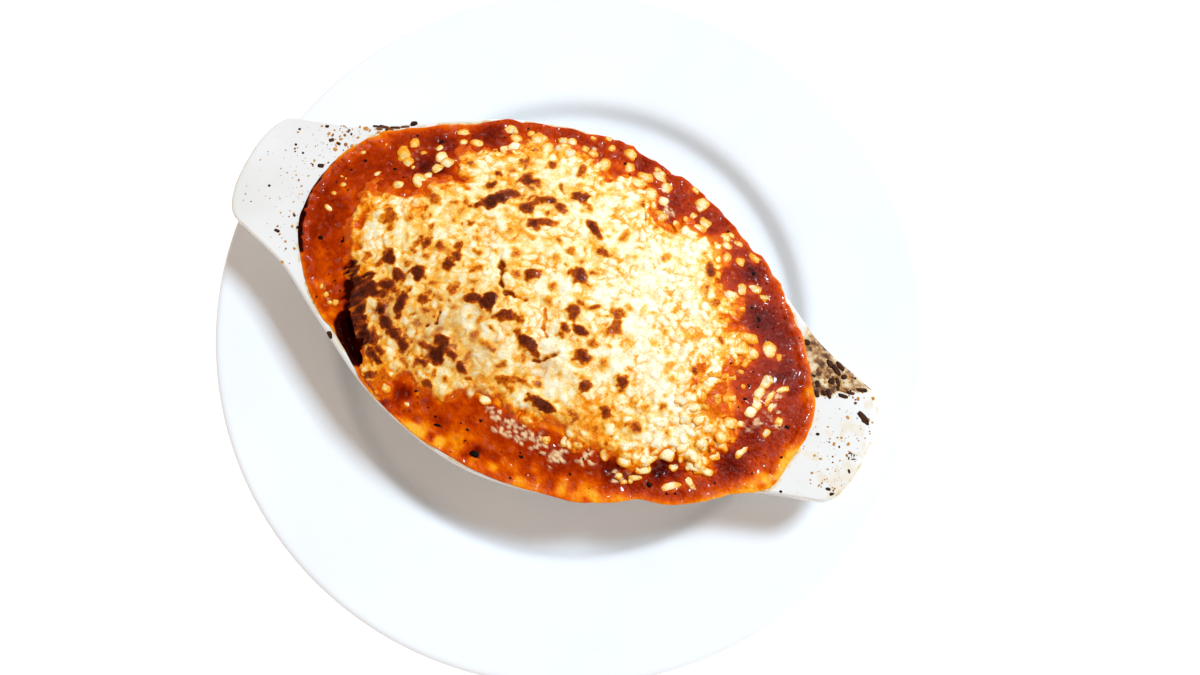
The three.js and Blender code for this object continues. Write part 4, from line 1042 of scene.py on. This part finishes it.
# Crumbs of cheese on the sauce, each one lump or two
crumbSet = {
    "grow": 1.16, "flat": 0.34, "thick": 0.6,  # thickness as a share of the width, and mm more than that
    "sunk": 0.5, "lumps": 1, "number": 17,  # mm into the food, most lumps besides the first, random number
    "boxy": 0.66, "rounder": 0.26,  # 1 is round, and they are rounder at the left
}
lumpSet = {"lumpy": 0.3, "mottle": 0.16, "boxy": 0.68}  # unevenness of shape and tone, and how boxy


def addLump(bm, fields, centre, size, degrees, tone, detail, seed, power=lumpSet["boxy"]):  # sizes in mm
    place = Matrix.Translation(centre * mm) @ Matrix.Rotation(math.radians(degrees), 4, "Z")
    place = place @ Matrix.Diagonal((*(width * mm / 2 for width in size), 1))
    shift = Vector((seed * 3.7, seed * 1.3, seed * 7.1))
    for vert in bmesh.ops.create_icosphere(bm, subdivisions=detail, radius=1)["verts"]:
        p = Vector([math.copysign(abs(c) ** power, c) for c in vert.co])
        bulge = 1 + lumpSet["lumpy"] * (noise.noise(p * 0.9 + shift) + 0.5 * noise.noise(p * 2.2 + shift))
        mottle = lumpSet["mottle"] * noise.noise(p * 1.4 - shift)
        vert[fields[0]] = max(0.0, tone[0] + mottle - 0.05 * p.z)
        if len(fields) > 1:  # more fat round the sides
            side = (p.x * p.x + p.y * p.y) ** 0.5 + 0.5 * noise.noise(p * 0.9 + shift)
            vert[fields[1]] = min(0.6, max(0.0, tone[1] * 0.7 + 0.8 * (side - 0.6)))
        vert.co = place @ (p * bulge)


def dishPlace(u, v, z):
    return Vector((u + dishPlan["centre"][0], v + dishPlan["centre"][1], z))


def foodTop(u, v):  # top of the sauce and of the cheese over it, mm from the table
    places = np.array([[u, v]], float).T
    sauce = sauceFields(*places)[0][0]
    return max(sauce, cheeseFields(*places)[0][0]) if insideAt(u, v, cheeseCurve) > 0.5 else sauce


def buildCrumbs():
    bm = bmesh.new()
    fields = [bm.verts.layers.float.new(name) for name in ("toast", "seep")]
    rng = np.random.default_rng(crumbSet["number"])
    for k, (u, v, length, width, degrees, tone) in enumerate(crumbRows):
        length, width = length * crumbSet["grow"], width * crumbSet["grow"]
        height, thick = foodTop(u, v) - crumbSet["sunk"], width * crumbSet["flat"] + crumbSet["thick"]
        parts = [(0, 0, 0.92, 1)]
        for _ in range(rng.integers(0, crumbSet["lumps"] + 1)):
            parts.append((*rng.uniform(-0.34, 0.34, 2), rng.uniform(0.4, 0.66), rng.uniform(0.8, 1.05)))
        oily = min(0.8, 0.1 + 1.3 * tone + softSpots(u, v, oilyPlaces))
        power = crumbSet["boxy"] + crumbSet["rounder"] * smoothstep(30, -30, u)
        for n, (along, across, share, rise) in enumerate(parts):
            du, dv = Matrix.Rotation(math.radians(degrees), 2) @ Vector((along * length, across * width))
            size = (length * share, width * min(1, share + 0.2), thick * rise)
            addLump(bm, fields, dishPlace(u + du, v + dv, height), size, degrees + 60 * n,
                    (0.08 + 0.42 * tone, oily), 3, 7 * k + n + 1, power)
    bmesh.ops.recalc_face_normals(bm, faces=bm.faces)
    cheese = bpy.data.materials["toasted_melted_cheese"]
    makePiece("cheese_crumbs", bm, cheese, "melted_cheese", "lasagna_and_sauce")


buildCrumbs()


# Dark flecks
fleckSet = {
    "tone": 0.9,  # how dark where a row doesn't say
    "thick": 0.25, "thicker": 0.12,  # thickness, and more for each mm of width of a dark one
    "lift": 0.02, "inRim": 0.9,  # how far they stand over the surface, and stay inside the rim's edge
    "small": 0.8,  # shorter ones get fewer faces
    "strewn": 80, "numbers": (5, 6),  # how many fine ones in the sauce, and random number of each piece
    "grit": 0.4,  # mm, coarser than real so that it shows
}

# Pepper and herb in the sauce, then specks baked onto the rim: u, v, length, width, turn, for some how dark.
fleckRows = [
    (-14, -57, 3.2, 0.9, 15), (17, -54.2, 2, 0.9, -10), (78.2, -1.8, 1.6, 0.9, 20), (-72, 19.2, 1.2, 1.1, 0),
    (-84, 18, 1.3, 1.1, 0), (-62, 36.6, 1.8, 1.4, 30), (-87, 12.6, 1, 0.8, 0), (-76, -13, 1.5, 1.1, 60),
    (-84.4, -15, 2, 1.4, 10), (-68.5, -22.6, 1.2, 1, 0), (1.8, -60.2, 3.2, 2.4, 0),
    (-26.4, -49.6, 1.6, 1, 60), (-16.4, -54.8, 1, 0.8, 0), (-4, -54, 1.4, 0.9, 0), (-1, -49.3, 1.2, 0.9, 0),
    (98.4, -14.2, 0.9, 0.9, 0), (35, -52, 1, 0.8, 0), (61, -43, 2.4, 1.6, -20), (66.6, 29.2, 1.2, 1.1, 0),
    (70.6, 26.6, 1.8, 1.2, -30), (71.4, 24, 1.1, 0.9, 0), (68.5, 6.8, 0.8, 0.8, 0), (2.4, 58.6, 1.4, 1, 0),
    (-71.6, 35.2, 1.1, 0.9, 0), (103.2, -25, 1, 0.9, 0), (73.4, -43.4, 1, 0.8, 0),
    (69.6, -44.2, 0.9, 0.8, 0), (91.6, -23.8, 0.8, 0.8, 0), (-83.2, 32.4, 1.5, 1, 0),
    (61.8, 41.6, 1.4, 1.2, 0), (47, 52, 1, 0.8, 0), (95.8, -3.6, 1.8, 1.2, 0),
]
rimRows = [
    (-87.6, 32.2, 3.4, 0.9, 18, 0.8), (-84.6, 33.2, 4.4, 1.2, 14, 0.75), (-81, 34.6, 4, 1.0, 24, 0.8),
    (-77.8, 36.6, 3.4, 1.0, 32, 0.7), (-86, 31.6, 2.6, 1.0, 20, 0.6), (-82.6, 33.4, 3, 0.9, 10, 0.6),
    (118.1, 11.5, 5, 2, -25), (119.6, 10.4, 3, 1.6, -10), (100.3, 11.9, 2.6, 1.6, -60),
    (104.1, 13.7, 3.4, 1.4, -50), (105.2, 19, 3.2, 1.6, -40), (103, 18, 2.6, 1.6, 20),
    (102.8, 22.7, 5, 2, -30), (100, 23.7, 3, 1.8, -30), (108.8, 15.2, 3.6, 1.4, 10),
    (110.6, 17.3, 3.2, 1.2, 15), (113.8, 20, 4, 1.6, 20), (99, 15.2, 2.4, 1.6, -60), (89.4, 27.2, 2.6, 2, 0),
    (121.5, -8.1, 1.6, 0.8, -50), (117.5, -17, 2, 1, 20), (119.4, -18, 1.6, 1, 40),
    (119.4, -2.2, 1.6, 0.5, 30), (121.2, -3.6, 1.6, 0.5, 30), (120.8, -2.2, 0.5, 1.2, 20),
    (119.6, -4, 0.5, 1.2, 20), (-112, -5.6, 1.1, 0.9, 0), (-107, 11, 0.9, 0.8, 0), (-111, 12.7, 1, 0.8, 0),
    (-98.6, 9.5, 2.4, 1.7, 20), (-96.8, 20, 1.5, 1.2, 0), (-104, 24, 1.5, 1.1, 20), (-101, -19.5, 2, 1.2, 0),
    (-112.7, 18.6, 1, 0.8, 0), (118, 11.8, 1.5, 1.1, 0), (106.4, -1, 1.4, 1, 30), (-66, -46, 3, 1.6, -40),
    (-75.5, 39.2, 2.6, 1.8, 30), (103.4, 24.6, 4, 1.6, -25), (99.6, 24.2, 2.4, 1.4, -10),
    (106.4, 21.6, 2.2, 1.8, 20), (103.2, 18.6, 2.4, 1.6, 0), (102.4, 13.4, 2.4, 1.6, -30),
    (98.6, 15.8, 1.6, 1.2, 0), (96.6, 17.4, 1.4, 1, 0), (100.6, 11.4, 1.6, 1.2, 0),
]
# Finer specks strewn on the rim: how many, their middle, their spread, smallest and largest size.
rimStrewn = [
    (90, (-93, 24), (5, 5), 0.3, 1.6), (70, (-99, 12), (6, 12), 0.2, 0.8),
    (60, (-97, -14), (5, 9), 0.2, 1.2), (60, (-110, 4), (7, 14), 0.15, 0.6),
    (60, (104, 18), (6, 4), 0.4, 1.3), (90, (110, -4), (7, 9), 0.15, 0.8), (50, (117, 2), (4, 9), 0.2, 1.0),
    (30, (118, -16), (4, 3), 0.2, 0.7), (30, (-88, 31), (6, 2), 0.3, 1.2),
]


def flatFlecks(name, rows, material, slotName, number):
    bm = bmesh.new()
    fields = [bm.verts.layers.float.new("toast")]
    for k, (u, v, length, width, degrees, *given) in enumerate(rows):
        tone = given[0] if given else fleckSet["tone"]
        out = min(1.0, (rimReach(math.atan2(v, u)) - fleckSet["inRim"]) / math.hypot(u, v))
        u, v = u * out, v * out
        height = foodTop(u, v) if insideAt(u, v, spillCurve) > 0.2 else rimHeight
        size = (length, width, fleckSet["thick"] + fleckSet["thicker"] * width * tone)
        centre = dishPlace(u, v, height + fleckSet["lift"])
        detail = 2 if length > fleckSet["small"] else 1
        addLump(bm, fields, centre, size, degrees, (tone,), detail, k + number)
    bmesh.ops.recalc_face_normals(bm, faces=bm.faces)
    makePiece(name, bm, material, slotName)


def strewInSauce(rng):
    rows = []
    while len(rows) < fleckSet["strewn"]:
        a = rng.uniform(0, math.tau)
        share = rng.uniform(0.7, 0.98)
        u, v = spillReach(a) * share * math.cos(a), spillReach(a) * share * math.sin(a)
        if insideAt(u, v, cheeseCurve) < -0.5:
            size = rng.uniform(0.3, 0.75)
            rows.append((u, v, size * rng.uniform(1, 2), size, rng.uniform(0, 180), rng.uniform(0, 1)))
    return rows


def strewOnRim(rng):
    rows = []
    for count, middle, spread, small, large in rimStrewn:
        for _ in range(count):
            u, v = rng.normal(middle, spread)
            a, out = math.atan2(v, u), math.hypot(u, v)
            if spillReach(a) + 0.3 < out < rimReach(a) - 0.8:
                size = small + (large - small) * rng.random() ** 2.5
                tone = rng.random() ** (1 + 2.5 * size)
                rows.append((u, v, size * rng.uniform(1, 1.5), size, rng.uniform(0, 180), tone))
    return rows


def charMaterial(name, stops):
    # charred specks: nearly black and dull, some only browned
    mat, shader = newMaterial(name, Roughness=0.6, Specular_IOR_Level=0.15)
    place = addNode(mat, "ShaderNodeTexCoord", "Object")
    tone = addNode(mat, "ShaderNodeAttribute", "Fac", attribute_name="toast")
    color = addNode(mat, "ShaderNodeValToRGB", "Color", {"Fac": tone}, stops)
    grit = addNode(mat, "ShaderNodeTexNoise", "Fac", {"Vector": place, "Scale": lumpScale(fleckSet["grit"])})
    bump = addNode(mat, "ShaderNodeBump", "Normal", {"Height": grit, "Strength": 0.5, "Distance": 0.2 * mm})
    joinNodes(mat, color, shader.inputs["Base Color"])
    joinNodes(mat, bump, shader.inputs["Normal"])
    return mat


def buildFlecks():
    herb = charMaterial("charred_herb", [(0.3, "#3A140A"), (0.8, "#120806")])
    fat = charMaterial("baked_on_fat", [
        (0.1, "#C98A3A"), (0.4, "#A06428"), (0.7, "#5A3018"), (0.95, "#1E0F0A")])
    inSauce, onRim = fleckSet["numbers"]
    flatFlecks("pepper_and_herb_flecks", fleckRows + strewInSauce(np.random.default_rng(inSauce)), herb,
               "tomato_sauce", inSauce)
    flatFlecks("baked_on_specks", rimRows + strewOnRim(np.random.default_rng(onRim)), fat,
               "dish_porcelain", onRim)


buildFlecks()


# Floor, lights and world
lightSet = {
    "key": 79.0, "keySize": 0.6, "keyPlace": (0.95, 1.25, 2.35), "keyColor": "#D9EEFF",  # watts and metres
    "fill": 0.57, "fillColor": "#FFEAD8", "black": 0.006,
    "card": 0.5, "cardSize": 9.0, "fibre": 25.0,  # the card's own glow, half its width in m, its fibre in mm
}


def buildStage():
    bm = bmesh.new()
    bmesh.ops.create_grid(bm, x_segments=8, y_segments=8, size=lightSet["cardSize"])
    mesh = bpy.data.meshes.new("floor")
    bm.to_mesh(mesh)
    bm.free()
    floor = bpy.data.objects.new("floor", mesh)
    scene.collection.objects.link(floor)
    mat, shader = newMaterial("pale_paper", Roughness=0.9)  # matt white card, with a trace of fibre
    place = addNode(mat, "ShaderNodeTexCoord", "Object")
    fibre = addNode(mat, "ShaderNodeTexNoise", "Fac",
                    {"Vector": place, "Scale": lumpScale(lightSet["fibre"])})
    tint = addNode(mat, "ShaderNodeValToRGB", "Color", {"Fac": fibre}, [(0.3, "#FAFAFA"), (0.7, "#FDFDFD")])
    joinNodes(mat, tint, shader.inputs["Base Color"])
    shader.inputs["Emission Color"].default_value = hexColor("#FFFFFF")
    shader.inputs["Emission Strength"].default_value = lightSet["card"]
    mesh.materials.append(mat)

    world = bpy.data.worlds.new("studio")
    world.use_nodes = True
    sky = world.node_tree.nodes["Background"].inputs
    sky["Color"].default_value = hexColor(lightSet["fillColor"])
    sky["Strength"].default_value = lightSet["fill"]
    scene.world = world

    key = bpy.data.lights.new("key", "AREA")
    key.energy = lightSet["key"]
    key.size = lightSet["keySize"]
    key.color = hexColor(lightSet["keyColor"])[:3]
    obj = bpy.data.objects.new("key", key)
    scene.collection.objects.link(obj)
    place = Vector(lightSet["keyPlace"])
    obj.matrix_world = Matrix.Translation(place) @ place.to_track_quat("Z", "Y").to_matrix().to_4x4()
    view = scene.view_settings
    view.view_transform = "Standard"
    view.use_curve_mapping = True
    view.curve_mapping.black_level = [lightSet["black"]] * 3
    print("scene: stage set")


buildStage()
